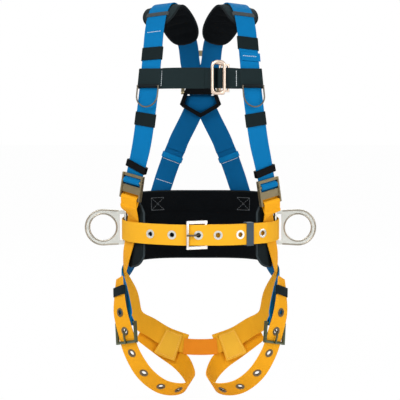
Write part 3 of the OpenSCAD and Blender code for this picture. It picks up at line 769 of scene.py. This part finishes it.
# Straps
PRONG_GAP = 9
GROMMET_CUT_R = 6
GROMMET_CUT_DEPTH = 12
GROMMET_CUT_SIDES = 24
PRONG_HOLE_Z = 4.84
BELT_GROMMETS = [22.05, 23.05, 24.5 + PRONG_HOLE_Z / BUCKLE_LEN, 25.5, 26.4, 27.65]
LEG_PRONG_HOLE = LEG_BUCKLE_AT + PRONG_HOLE_Z / (LEG_ROUTE[10][0] - LEG_ROUTE[9][0]).length
LEG_GROMMETS = [5.02, 6.03, 7.05, 8.02, LEG_PRONG_HOLE, LEG_PRONG_HOLE + 0.88]


def baked(piece):
    """Makes a piece's modifiers part of its mesh."""
    depsgraph = bpy.context.evaluated_depsgraph_get()
    mesh = bpy.data.meshes.new_from_object(piece.evaluated_get(depsgraph))
    piece.modifiers.clear()
    piece.data = mesh


def punch(piece, route, spots):
    """Cuts the holes that the grommets stand in."""
    bm = bmesh.new()
    for u in spots:
        turned = place_on(route, u).matrix() @ Matrix.Rotation(math.radians(90), 4, "X")
        bmesh.ops.create_cone(bm, cap_ends=True, segments=GROMMET_CUT_SIDES, radius1=GROMMET_CUT_R * MM,
                              radius2=GROMMET_CUT_R * MM, depth=GROMMET_CUT_DEPTH * MM, matrix=turned)
    mesh = new_mesh("punch", bm)
    cutter = in_scene("punch", mesh)
    piece.modifiers.new("planar", "TRIANGULATE")
    cut = piece.modifiers.new("holes", "BOOLEAN")
    cut.object = cutter
    cut.operation = "DIFFERENCE"
    bpy.context.view_layer.update()
    baked(piece)
    bpy.data.objects.remove(cutter)
    bpy.data.meshes.remove(mesh)


FRONT_TACK_AT = {1: 4.9, -1: 5.75}
FRONT_TACK_HALF = 16
LAP_SPAN = (4.74, 5.03)
LAP_ROWS = 4
LAP_T = 2.0
LAP_SHIFT = -3
STRAP_END_DROP = 3.2


def shoulder_places(side):
    """The run of a shoulder strap, with its low end square to the adjuster and behind its top bar."""
    end = adjuster_place(side).moved(0, -STRAP_BEHIND, STRAP_START - STRAP_END_DROP)
    return [end] + route_places(shoulder_route(side))[1:]


def dress_shoulder_straps():
    lap = span_places(shoulder_route(1), LAP_SPAN, LAP_ROWS)
    lap_out = (WEB_T + LAP_T) / 2
    webbing("shoulder_lap", lap, BLUE, "harness", WEB_W, LAP_T, lap_out, LAP_SHIFT)
    for word, side in SIDES.items():
        route = shoulder_route(side)
        # The strap's inner face is in the darker blue: painted shade
        strap = webbing(f"shoulder_web_{word}", shoulder_places(side), BLUE, "harness",
                        inside=BLUE_PAINTED_SHADE)
        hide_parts(f"shoulder_strap_{word}")
        face = WEB_T / 2 + (LAP_T if side > 0 else 0) + FRONT_THREAD
        lines = tack_lines(place_on(route, FRONT_TACK_AT[side]), FRONT_TACK_HALF, face)
        stitches(f"shoulder_tacks_{word}", lines, WHITE_THREAD, "harness")


FOLD_AT = 0.9
FOLD_WALL = 1.4
FOLD_LEN = 12
BACK_TACKS_AT = {1: (1.12, 2.35), -1: (1.12,)}
BACK_TACK_HALF = 19


def dress_back_straps():
    for word, side in SIDES.items():
        route = back_route(side)
        # The strap's inner face is in the darker blue: painted shade
        strap = webbing(f"back_web_{word}", route_places(route), BLUE, "harness",
                        inside=BLUE_PAINTED_SHADE)
        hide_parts(f"back_strap_{word}")
        pivot = buckle_pivot(leg_place(-side))
        strap_eye(f"back_eye_{word}", pivot, BAR_R, BLUE, "harness", gap=PRONG_GAP)
        fold = band(f"back_fold_{word}", place_on(route, FOLD_AT), WEB_W + 2 * KEEPER_SLACK,
                    WEB_T + 2 * KEEPER_SLACK, FOLD_WALL, FOLD_LEN, BLUE, "harness")
        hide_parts(f"back_keeper_{word}")
        lines = []
        for at in BACK_TACKS_AT[side]:
            lines += tack_lines(place_on(route, at), BACK_TACK_HALF, -WEB_T / 2 - BACK_THREAD)
        stitches(f"back_tacks_{word}", lines, WHITE_THREAD, "harness")


DORSAL_Z = 296
PLATE_LAP_Y = 114.4
PLATE_LAP_ROWS = ((-6, 31), (-26, 40), (-32, 36), (-50, 4))


def dress_dorsal_lap():
    """Webbing that fills the back plate's window: each row is a height from the bar and a half width. Its
    darker blue is painted shade.
    """
    rows = []
    for height, half in PLATE_LAP_ROWS:
        place = Place(vec(0, PLATE_LAP_Y, DORSAL_Z + height), vec(0, 0, -1), vec(0, 1, 0))
        rows += web_rows([place], 2 * half)
    bm = bmesh.new()
    lay_grid(bm, rows)
    lap = new_object("dorsal_lap", bm, BLUE_PAINTED_SHADE, "harness")
    add_thickness(lap, LAP_T)


PATCH_H = 62
PATCH_T = 1.6
PATCH_SHIFT = 14
PATCH_SPAN = (9.8, 10.75)
PATCH_ROWS = 12
PATCH_HEM = 4
HIP_TAIL = ((-45, -4.5), (-36.5, -8), (-30, -8), (-20, -7.4))


def patch_places(side):
    inside = WEB_T / 2 + 2 * LAYER_GAP + PATCH_T / 2
    places = span_places(hip_route(side), PATCH_SPAN, PATCH_ROWS)
    return [place.moved(-side * PATCH_SHIFT, -inside) for place in places]


def dress_hip_straps():
    for word, side in SIDES.items():
        route = hip_route(side)
        # The strap's inner face is in the lighter gold: painted light
        strap = webbing(f"hip_web_{word}", route_places(route), GOLD, "harness",
                        inside=SEAT_GOLD_PAINTED_LIGHT)
        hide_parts(f"hip_strap_{word}")
        adjuster = adjuster_place(side)
        bar = Place(adjuster.point(0, 0, ADJUSTER_BAR_Z), -adjuster.along, adjuster.out)
        strap_eye(f"hip_eye_{word}", bar, BAR_R, GOLD, "harness")
        tail = tail_places(adjuster, HIP_TAIL)
        webbing(f"hip_tail_{word}", tail, GOLD, "harness", TAIL_W, shift=-side * TAIL_SHIFT)
        patch = webbing(f"seat_patch_web_{word}", patch_places(side), PATCH_GOLD, "harness",
                        PATCH_H, PATCH_T)
        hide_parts(f"seat_patch_{word}")
        places = patch_places(side)
        first = places[1]
        last = places[-2]
        half = PATCH_H / 2 - PATCH_HEM
        proud = -PATCH_T / 2 - BACK_THREAD
        corners = [first.point(-half, proud), first.point(half, proud),
                   last.point(half, proud), last.point(-half, proud)]
        stitches(f"seat_box_{word}", box_lines(corners, -first.out), GOLD_THREAD, "harness")


LEG_KEEPER_AT = 11
LEG_KEEPER_LEN = 20


def elastic_keeper(name, place, slack, length, node):
    """An elastic band round a strap, on the body of the node that it stands for."""
    keeper = band(name, place, WEB_W + 2 * slack, WEB_T + 2 * slack, KEEPER_WALL, length, ELASTIC, node)
    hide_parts(node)


def dress_leg_straps():
    for word, side in SIDES.items():
        route = leg_route(side)
        strap = webbing(f"leg_web_{word}", route_places(route), GOLD, "harness")
        punch(strap, route, LEG_GROMMETS)
        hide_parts(f"leg_strap_{word}")
        place = place_on(route, LEG_KEEPER_AT)
        elastic_keeper(f"leg_elastic_{word}", place, LEG_KEEPER_SLACK, LEG_KEEPER_LEN, f"leg_keeper_{word}")


def dress_seat():
    # The crotch link is in a darker, oranger copy of the gold webbing: painted shade
    link = webbing("crotch_web", route_places(CROTCH_ROUTE), GOLD_PAINTED_SHADE, "harness", CROTCH_W)
    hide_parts("crotch_strap")


def dress_belt():
    # The belt and its eye are in a yellower copy of the gold webbing: painted highlight
    belt = webbing("belt_web", route_places(BELT_ROUTE), BELT_GOLD_PAINTED_HIGHLIGHT, "harness")
    punch(belt, BELT_ROUTE, BELT_GROMMETS)
    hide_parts("belt")
    pivot = buckle_pivot(BELT_PLACE)
    strap_eye("belt_eye", pivot, BAR_R, BELT_GOLD_PAINTED_HIGHLIGHT, "harness", gap=PRONG_GAP)


LOOP_SLACK = 3
LOOP_WALL = 2
LOOP_ROOM = 4
LOOP_DEPTH = WEB_T + LOOP_ROOM
LOOP_LEN = WEB_W - 2
WIRE_R = 1.6
WIRE_OUT = LOOP_DEPTH / 2 + LOOP_WALL + FIT_GAP + WIRE_R
WIRE_RISE = 5
WIRE_DROP = WIRE_RISE - WEB_W / 2
HEM_HALF = 21.5
HEM_R = 3.4
FLAP_BEHIND = 13
FLAP_END_X = 6
FLAP_TURN_X = CHEST_BAR_X[1] + 7
FLAP_TURN_BEHIND = FLAP_BEHIND - 2
FLAP_W = WEB_W - 1
CHEST_LEAD = 12
CHEST_BEND = 10
CHEST_TURN = vec(0, -0.6, 0)
CHEST_TACK_HALF = 17
FORWARD = vec(0, -1, 0)


def chest_places(side):
    loop = place_on(shoulder_route(side), CHEST_AT)
    inward = loop.across * side
    edge = loop.at + inward * (WEB_W / 2 + LOOP_SLACK + LOOP_WALL / 2)
    end_x = CHEST_BAR_X[side] + side * CHEST_LEAD
    route = [(edge, loop.out)]
    if abs(edge.x - end_x) > WEB_W:
        bend = edge + inward * CHEST_BEND + vec(0, 0, (CHEST_Z - edge.z) / 2)
        route.append((bend, loop.out + CHEST_TURN))
        route.append((vec((edge.x + end_x) / 2, CHEST_Y, CHEST_Z), FORWARD))
    route.append((vec(end_x, CHEST_Y, CHEST_Z), FORWARD))
    return route_places(route)


def dress_chest_flap():
    """The strap's tail end, flat behind the buckle's window."""
    start = chest_places(1)[2]
    route = [(start.point(0, -LAYER), start.out),
             (vec(FLAP_TURN_X, CHEST_Y + FLAP_TURN_BEHIND, CHEST_Z), FORWARD),
             (vec(FLAP_END_X, CHEST_Y + FLAP_BEHIND, CHEST_Z), FORWARD)]
    webbing("chest_flap", route_places(route), CHEST_BLACK, "chest", FLAP_W)


def dress_chest():
    for word, side in SIDES.items():
        strap = webbing(f"chest_web_{word}", chest_places(side), CHEST_BLACK, "chest")
        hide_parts(f"chest_strap_{word}")
        place = place_on(shoulder_route(side), CHEST_AT)
        band(f"chest_loop_{word}", place, WEB_W + 2 * LOOP_SLACK, LOOP_DEPTH, LOOP_WALL, LOOP_LEN,
             CHEST_BLACK, "chest")
        bar = Place(vec(CHEST_BAR_X[side], CHEST_Y, CHEST_Z), vec(side, 0, 0), FORWARD)
        strap_eye(f"chest_eye_{word}", bar, CHEST_BAR_R, CHEST_BLACK, "chest")
        hem = [place.point(x, WIRE_OUT, WIRE_DROP) for x in (-HEM_HALF, HEM_HALF)]
        tube(f"wire_hem_{word}", hem, HEM_R, BINDING, "chest")
        lines = tack_lines(chest_places(side)[1], CHEST_TACK_HALF, WEB_T / 2 + FRONT_THREAD)
        stitches(f"chest_tack_{word}", lines, WHITE_THREAD, "chest")


BUCKLE_FACE_Y = -130.5
BUCKLE_FACE_R = 3.2
BUCKLE_FACE_LEFT = 24.5
BUCKLE_FACE_RIGHT = 50
BUCKLE_FACE_HALF_H = 32.9
BUCKLE_FACE_RISE = 1.5
LEFT_CORNER_R = 11
RIGHT_CORNER_R = 8
FACE_BEND_STEPS = 6


def buckle_corner(x_side, z_side):
    """The bend in one corner of the chest buckle's front ring, anticlockwise as seen from the front."""
    radius = RIGHT_CORNER_R if x_side > 0 else LEFT_CORNER_R
    end_x = BUCKLE_FACE_RIGHT if x_side > 0 else BUCKLE_FACE_LEFT
    middle = vec(end_x - x_side * radius, BUCKLE_FACE_Y,
                 CHEST_Z + BUCKLE_FACE_RISE + z_side * (BUCKLE_FACE_HALF_H - radius))
    first = math.degrees(math.atan2(z_side, x_side)) - 45
    return [middle + vec(over, 0, up) for over, up in arc(radius, first, 90, FACE_BEND_STEPS)]


def dress_chest_buckle():
    """The rounded ring on the face of the chest buckle, in front of the folded strap."""
    around = buckle_corner(1, 1) + buckle_corner(-1, 1) + buckle_corner(-1, -1) + buckle_corner(1, -1)
    tube("chest_buckle_face", around, BUCKLE_FACE_R, CHEST_STEEL, "chest", cyclic=True)


UPPER_KEEPER_AT = {1: 5.35, -1: 5.0}
UPPER_KEEPER_LEN = 29
LOWER_KEEPER_AT = 2.72
LOWER_KEEPER_LEN = 28
ROLL_TAIL = ((-16, -8), (-6, -9.8), (1, -10.6), (7, -9.4), (12, -9))


def dress_keepers():
    for word, side in SIDES.items():
        route = shoulder_route(side)
        for node, at, length in (("upper_keeper", UPPER_KEEPER_AT[side], UPPER_KEEPER_LEN),
                                 ("lower_keeper", LOWER_KEEPER_AT, LOWER_KEEPER_LEN)):
            place = place_on(route, at)
            elastic_keeper(f"{node}_elastic_{word}", place, KEEPER_SLACK, length, f"{node}_{word}")
        adjuster = adjuster_place(side)
        lean = Matrix.Rotation(math.radians(ROLL_LEAN), 3, adjuster.across)
        bar = Place(adjuster.at, lean @ adjuster.along, lean @ adjuster.out)
        body = f"adjuster_bar_{word}"
        roll = strap_eye(f"adjuster_web_{word}", bar, SLIDING_BAR_R, BLUE, body, ROLL_LEAD)
        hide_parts(f"adjuster_roll_{word}")
        tail = tail_places(adjuster, ROLL_TAIL)
        shift = -side * TAIL_SHIFT
        webbing(f"adjuster_tail_{word}", tail, BLUE, body, TAIL_W, shift=shift)


# Pads
CROWN_POWER = 2.5


def pad_crown(thickness, v, dent):
    """The thickness of a pad at v across it, from -1 to 1, drawn in by a dent."""
    return PAD_EDGE + (thickness - PAD_EDGE) * (1 - abs(v) ** CROWN_POWER) * (1 - dent)


def pad(name, places, halves, thicknesses, dent, outer_share, columns, material, outer_material):
    """A sewn pad: an inner face with dents and an outer one with a share of them, joined round the edge."""
    spread = [2 * k / columns - 1 for k in range(columns + 1)]
    bm = bmesh.new()
    for face, share in ((-1, 1), (1, outer_share)):
        rows = []
        for i, (place, half, thick) in enumerate(zip(places, halves, thicknesses)):
            depths = [face * pad_crown(thick, v, share * dent(i, v)) / 2 for v in spread]
            rows.append([place.point(half * v, depth) for v, depth in zip(spread, depths)])
        sheet = bmesh.new()
        lay_grid(sheet, rows)
        mesh = new_mesh("sheet", sheet)
        bm.from_mesh(mesh)
        bpy.data.meshes.remove(mesh)
    rim = [e for e in bm.edges if e.is_boundary]
    bmesh.ops.bridge_loops(bm, edges=rim)
    bmesh.ops.recalc_face_normals(bm, faces=bm.faces)
    bm.faces.ensure_lookup_table()
    sheet_faces = columns * (len(places) - 1)
    for i in range(sheet_faces, 2 * sheet_faces):
        bm.faces[i].material_index = 1
    piece = new_object(name, bm, material, "harness")
    piece.data.materials.append(outer_material)
    soft = piece.modifiers.new("soft", "SUBSURF")
    soft.levels = 1
    soft.render_levels = 1
    return piece


SHOULDER_PAD_SPAN = (6.13, 9.99)
ROWS_PER_RIB = 8
SHOULDER_PAD_ROWS = ROWS_PER_RIB * SHOULDER_RIBS
SHOULDER_PAD_COLUMNS = 16
RIB_DENT = 0.8
RIB_SHARPNESS = 6
OUTER_RIB_SHARE = 0
PAD_SINK = 0.4
PAD_END_SHARE = 0.2
PAD_END_POWER = 5
PAD_FLAT_POWER = 6
SHOULDER_PIPING_R = 2.2
PAD_BAND_AT = 6.55
PAD_BAND_IN = 1.2
PAD_BAND_W = WEB_W + 4
PAD_BAND_DEPTH = 5.0
PAD_BAND_WALL = 1.5
PAD_BAND_LEN = 11


def shoulder_pad_places(side):
    depth = WEB_T / 2 + LAYER_GAP + PAD_SINK + SHOULDER_PAD_T / 2
    places = span_places(shoulder_route(side), SHOULDER_PAD_SPAN, SHOULDER_PAD_ROWS)
    return [place.moved(0, -depth) for place in places]


def shoulder_pad_half(t):
    """Half the width of a pad at t, which is 0 at its middle and 1 at its ends."""
    roundness = math.sqrt(1 - t ** PAD_END_POWER)
    return SHOULDER_PAD_W / 2 * (PAD_END_SHARE + (1 - PAD_END_SHARE) * roundness)


def rib_dent(i, v):
    """How far the grooves between ribs draw row i of a pad in."""
    return RIB_DENT * abs(math.cos(math.pi * i / ROWS_PER_RIB)) ** RIB_SHARPNESS


def dress_shoulder_pads():
    for word, side in SIDES.items():
        places = shoulder_pad_places(side)
        ends = [abs(2 * i / SHOULDER_PAD_ROWS - 1) for i in range(SHOULDER_PAD_ROWS + 1)]
        halves = [shoulder_pad_half(t) for t in ends]
        thick = [PAD_EDGE + (SHOULDER_PAD_T - PAD_EDGE) * math.sqrt(1 - t ** PAD_FLAT_POWER) for t in ends]
        piece = pad(f"shoulder_cushion_{word}", places, halves, thick, rib_dent, OUTER_RIB_SHARE,
                    SHOULDER_PAD_COLUMNS, PAD_BLACK, WING_GREY)
        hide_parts(f"shoulder_pad_{word}")
        rim = [place.point(half) for place, half in zip(places, halves)]
        rim += [place.point(-half) for place, half in zip(places[::-1], halves[::-1])]
        tube(f"shoulder_piping_{word}", rim, SHOULDER_PIPING_R, BINDING, "harness", cyclic=True)
        place = place_on(shoulder_route(side), PAD_BAND_AT).moved(0, -PAD_BAND_IN)
        strip = band(f"shoulder_band_{word}", place, PAD_BAND_W, PAD_BAND_DEPTH, PAD_BAND_WALL, PAD_BAND_LEN,
                     GREY_BAND, "harness")
        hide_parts(f"pad_band_{word}")


WAIST_ROWS = 96
WAIST_COLUMNS = 36
WAIST_CHANNELS = 3
SEAM_WIDTH = 0.07
SEAM_DENT = 0.7
OUTER_SEAM_SHARE = 1 / 3
TAPER = 0.4
TAPER_FROM = 0.7
TAPER_POWER = 3
THIN_BY = 0.6
WAIST_PIPING_R = 2.3
CROSS_LOW = -62
CROSS_HIGH = -34
CROSS_HALF = 16
CROSS_STEPS = 4
WAIST_REACH = 7.6
CROSS_AT = 0.25
CROSS_LIFT = 1.5
PIPED_FROM = 0.625


def waist_place(t):
    place, out = at_waist(1 + WAIST_REACH * abs(t), 0, 0)
    side = -1 if t < 0 else 1
    out = mirrored(side, out)
    return Place(mirrored(side, place) + vec(0, 0, WAIST_PAD_Z), vec(out.y, -out.x, 0), out)


def waist_half(t):
    past = max(0, (abs(t) - TAPER_FROM) / (1 - TAPER_FROM))
    return WAIST_PAD_H / 2 * (1 - TAPER * past ** TAPER_POWER)


def waist_edge(t, end):
    return waist_place(t).at + vec(0, 0, end * waist_half(t))


def seam_dent(i, v):
    """How far the seams between channels draw the pad in, which is the same in every row."""
    seams = [2 * k / WAIST_CHANNELS - 1 for k in range(1, WAIST_CHANNELS)]
    return max(SEAM_DENT * math.exp(-((v - seam) / SEAM_WIDTH) ** 2) for seam in seams)


def waist_thickness(t):
    return WAIST_PAD_T + (WING_T - WAIST_PAD_T) * min(1, abs(t) / THIN_BY)


def on_waist_inside(t, across, along):
    """A place just proud of the inner face of the waist pad."""
    v = across / waist_half(t)
    depth = pad_crown(waist_thickness(t), v, seam_dent(0, v)) / 2 + CROSS_LIFT
    return waist_place(t).point(across, -depth, along)


def waist_cross_lines(t):
    """A sewn box with a cross in it, in short runs that follow the pad's curve."""
    corners = ((CROSS_LOW, -CROSS_HALF), (CROSS_HIGH, -CROSS_HALF),
               (CROSS_HIGH, CROSS_HALF), (CROSS_LOW, CROSS_HALF))
    lines = []
    for start, end in ((0, 1), (1, 2), (2, 3), (3, 0), (0, 2), (1, 3)):
        run = []
        for k in range(CROSS_STEPS + 1):
            share = k / CROSS_STEPS
            across, along = [a + (b - a) * share for a, b in zip(corners[start], corners[end])]
            run.append(on_waist_inside(t, across, along))
        lines += [(p, q, -waist_place(t).out) for p, q in zip(run, run[1:])]
    return lines


def dress_waist_pad():
    spread = [2 * i / WAIST_ROWS - 1 for i in range(WAIST_ROWS + 1)]
    places = [waist_place(t) for t in spread]
    halves = [waist_half(t) for t in spread]
    thick = [waist_thickness(t) for t in spread]
    piece = pad("waist_cushion", places, halves, thick, seam_dent, OUTER_SEAM_SHARE,
                WAIST_COLUMNS, PAD_BLACK, WAIST_KNIT)
    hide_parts("waist_pad")
    plain = [t for t in spread if abs(t) <= PIPED_FROM]
    for word, end in (("top", 1), ("bottom", -1)):
        hem = [waist_edge(t, end) for t in plain]
        tube(f"waist_binding_{word}", hem, WAIST_PIPING_R, BINDING, "harness")
    for word, side in SIDES.items():
        wing = [side * t for t in spread if t >= PIPED_FROM]
        rim = [waist_edge(t, 1) for t in wing] + [waist_edge(t, -1) for t in wing[::-1]]
        tube(f"waist_piping_{word}", rim, WAIST_PIPING_R, PIPING, "harness")
        lines = waist_cross_lines(side * CROSS_AT)
        stitches(f"waist_cross_{word}", lines, GREY_THREAD, "harness")


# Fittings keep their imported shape, with eased edges and a finish
WELD_GAP = 0.08
FLAT_DEGREES = 0.5
FITTING_EDGE_DEGREES = 35


def finish_fitting(node, material, edge):
    piece = NODES[node]
    piece.data.materials.clear()
    piece.data.materials.append(material)
    weld = piece.modifiers.new("weld", "WELD")
    weld.merge_threshold = WELD_GAP * MM
    flat = piece.modifiers.new("flat", "DECIMATE")
    flat.decimate_type = "DISSOLVE"
    flat.angle_limit = math.radians(FLAT_DEGREES)
    add_edge_bevel(piece, edge, FITTING_EDGE_DEGREES)


# Each row is a node, its finish and the width of its edges
FITTINGS = (
    ("dorsal_plate", PLATE_BLACK, 0.8),
    ("dorsal_ring", ZINC, 1.2),
    ("chest_buckle_frame", CHEST_STEEL, 0.4),
    ("chest_buckle_insert", CHEST_STEEL, 0.4),
    ("belt_buckle_frame", BELT_STEEL, 0.5),
    ("belt_prong", WIRE, 0.3),
    ("belt_keeper", SLATE, 0.5),
    ("belt_grommets", RING_STEEL, 0.2))
PAIRED_FITTINGS = (
    ("hip_ring", RING_STEEL, 1.2),
    ("strap_slider", PLATE_BLACK, 0.8),
    ("adjuster_frame", ZINC, 0.5),
    ("adjuster_bar", ZINC, 0.3),
    ("lanyard_keeper", WIRE, 0.2),
    ("leg_grommets", BRONZE, 0.2),
    ("leg_buckle_frame", OLIVE, 0.5),
    ("leg_prong", OLIVE, 0.3))


def dress_fittings():
    for node, material, edge in FITTINGS:
        finish_fitting(node, material, edge)
    for word in SIDES:
        for node, material, edge in PAIRED_FITTINGS:
            finish_fitting(f"{node}_{word}", material, edge)


RING_AT = 6.3
RING_RISE = 4
RING_REACH = 49.5
RING_R = 40
RING_EYE_R = 28.3
RING_T = 6
RING_BAR_OFF = WING_T / 2 + FIT_GAP + RING_BAR_R
RIM_R = 1.7
RIM_LEG = 34
RIM_TAPER = 2
EYE_RIM_STEPS = 48
OUTLINE_STEPS = 30


def dress_hip_rings():
    """Raised rims round the eye and the outline of each hip ring, on both faces, in a darker steel that is
    painted shade.
    """
    bar = at_waist(RING_AT, RING_BAR_OFF, RING_RISE)[0]
    eye_turn = arc(RING_EYE_R + RIM_R, 0, 360, EYE_RIM_STEPS)[:-1]
    outer_turn = arc(RING_R - RIM_R, -90, 180, OUTLINE_STEPS)
    for word, side in SIDES.items():
        eye = mirrored(side, bar + vec(RING_REACH, 0, 0))
        body = f"hip_ring_{word}"
        for face, depth in (("front", -RING_T / 2), ("back", RING_T / 2)):
            around = [eye + vec(side * over, depth, up) for over, up in eye_turn]
            tube(f"ring_eye_rim_{face}_{word}", around, RIM_R, RIM_PAINTED_SHADE_STEEL, body, cyclic=True)
            outline = [eye + vec(side * over, depth, up) for over, up in outer_turn]
            low_foot = outline[0] + vec(-side * RIM_LEG, 0, RIM_TAPER)
            high_foot = outline[-1] + vec(-side * RIM_LEG, 0, -RIM_TAPER)
            outline = [low_foot] + outline + [high_foot]
            tube(f"ring_rim_{face}_{word}", outline, RIM_R, RIM_PAINTED_SHADE_STEEL, body)


# Stage: the floor and the lamps are in metres
CAMERA_FAR = 3000
CAMERA_RISE = math.radians(5)
AIM_Z = 62
FOCAL_PIXELS = 1363.6
PICTURE = 400
SENSOR = 36
HALF_PIXEL = 0.5
FLOOR_HALF = 12
FLOOR_GAP = 0.012
FLOOR_PALE = 0.92
FLOOR_WHITE_SHARE = 0.975
AMBIENT_COLOUR = (0.96, 0.98, 1, 1)
AMBIENT_STRENGTH = 0.55
WHITE = (1, 1, 1, 1)
WALL_RISE = 0.5
WALL_SLANT = -0.25


def set_camera():
    data = bpy.data.cameras.new("camera")
    data.sensor_width = SENSOR
    data.lens = FOCAL_PIXELS / PICTURE * SENSOR
    data.shift_x = -HALF_PIXEL / PICTURE
    camera = in_scene("camera", data)
    back = CAMERA_FAR * math.cos(CAMERA_RISE)
    up = AIM_Z + CAMERA_FAR * math.sin(CAMERA_RISE)
    camera.location = vec(0, -back, up) * MM
    camera.rotation_euler = (math.pi / 2 - CAMERA_RISE, 0, 0)
    bpy.context.scene.camera = camera


def mix_shaders(tree, share, first, second):
    mix = add_node(tree, "ShaderNodeMixShader")
    for socket, output in zip(mix.inputs, (share, first, second)):
        tree.links.new(output, socket)
    return mix.outputs["Shader"]


def seen(tree):
    """Whether a ray comes straight from the camera, or through something clear."""
    path = add_node(tree, "ShaderNodeLightPath")
    return math_node(tree, "MAXIMUM", path.outputs["Is Camera Ray"], path.outputs["Is Transmission Ray"])


def studio_walls(tree):
    """Brightness of the studio in reflections: pale in front and behind, greyer to the sides and below."""
    way = add_node(tree, "ShaderNodeTexCoord").outputs["Generated"]
    parts = add_node(tree, "ShaderNodeSeparateXYZ")
    tree.links.new(way, parts.inputs["Vector"])
    ramp = add_node(tree, "ShaderNodeMapRange",
                    {"From Min": -0.3, "From Max": 1.0, "To Min": 0.1, "To Max": 0.85})
    facing = math_node(tree, "ABSOLUTE", parts.outputs["Y"])
    tilted = math_node(tree, "MULTIPLY_ADD", parts.outputs["Z"], WALL_RISE, facing)
    slanted = math_node(tree, "MULTIPLY_ADD", parts.outputs["X"], WALL_SLANT, tilted)
    tree.links.new(slanted, ramp.inputs["Value"])
    return ramp.outputs["Result"]


def set_world():
    world = bpy.data.worlds.new("studio")
    bpy.context.scene.world = world
    world.use_nodes = True
    tree = world.node_tree
    ambient = tree.nodes["Background"]
    ambient.inputs["Color"].default_value = AMBIENT_COLOUR
    ambient.inputs["Strength"].default_value = AMBIENT_STRENGTH
    white = add_node(tree, "ShaderNodeBackground", {"Strength": 1, "Color": WHITE})
    walls = add_node(tree, "ShaderNodeBackground")
    tree.links.new(studio_walls(tree), walls.inputs["Strength"])
    glossy = add_node(tree, "ShaderNodeLightPath").outputs["Is Glossy Ray"]
    unseen = mix_shaders(tree, glossy, ambient.outputs["Background"], walls.outputs["Background"])
    mixed = mix_shaders(tree, seen(tree), unseen, white.outputs["Background"])
    tree.links.new(mixed, tree.nodes["World Output"].inputs["Surface"])


def add_lamp(name, place, aim, size, watts):
    data = bpy.data.lights.new(name, "AREA")
    data.size = size
    data.energy = watts
    lamp = in_scene(name, data)
    lamp.location = place
    lamp.rotation_euler = (Vector(aim) - Vector(place)).to_track_quat("-Z", "Y").to_euler()


def set_floor():
    below = Matrix.Translation((0, 0, cad_box[0][2] - FLOOR_GAP))
    bm = bmesh.new()
    bmesh.ops.create_grid(bm, x_segments=2, y_segments=2, size=FLOOR_HALF, matrix=below)
    mesh = new_mesh("floor", bm)
    material, tree, shader = new_material("pale_floor", roughness=0.9)
    shader.inputs["Base Color"].default_value = (FLOOR_PALE, FLOOR_PALE, FLOOR_PALE, 1)
    glow = add_node(tree, "ShaderNodeEmission", {"Strength": 1})
    share = math_node(tree, "MULTIPLY", seen(tree), FLOOR_WHITE_SHARE)
    mixed = mix_shaders(tree, share, shader.outputs["BSDF"], glow.outputs["Emission"])
    tree.links.new(mixed, tree.nodes["Material Output"].inputs["Surface"])
    mesh.materials.append(material)
    floor = in_scene("floor", mesh)


def set_stage():
    bpy.context.scene.view_settings.view_transform = "Standard"
    set_camera()
    set_world()
    set_floor()
    add_lamp("key", place=(-1.4, -2.2, 2.0), aim=(0, 0, 0.05), size=1.6, watts=62)
    add_lamp("fill", place=(1.9, -1.8, 0.8), aim=(0, 0, 0), size=1.8, watts=30)
    add_lamp("back", place=(0.4, 2.2, 1.8), aim=(0, 0, 0.1), size=1.6, watts=30)


dress_shoulder_straps()
dress_back_straps()
dress_dorsal_lap()
dress_hip_straps()
dress_leg_straps()
dress_seat()
dress_belt()
dress_chest()
dress_chest_buckle()
dress_chest_flap()
dress_keepers()
dress_shoulder_pads()
dress_waist_pad()
dress_fittings()
dress_hip_rings()
set_stage()
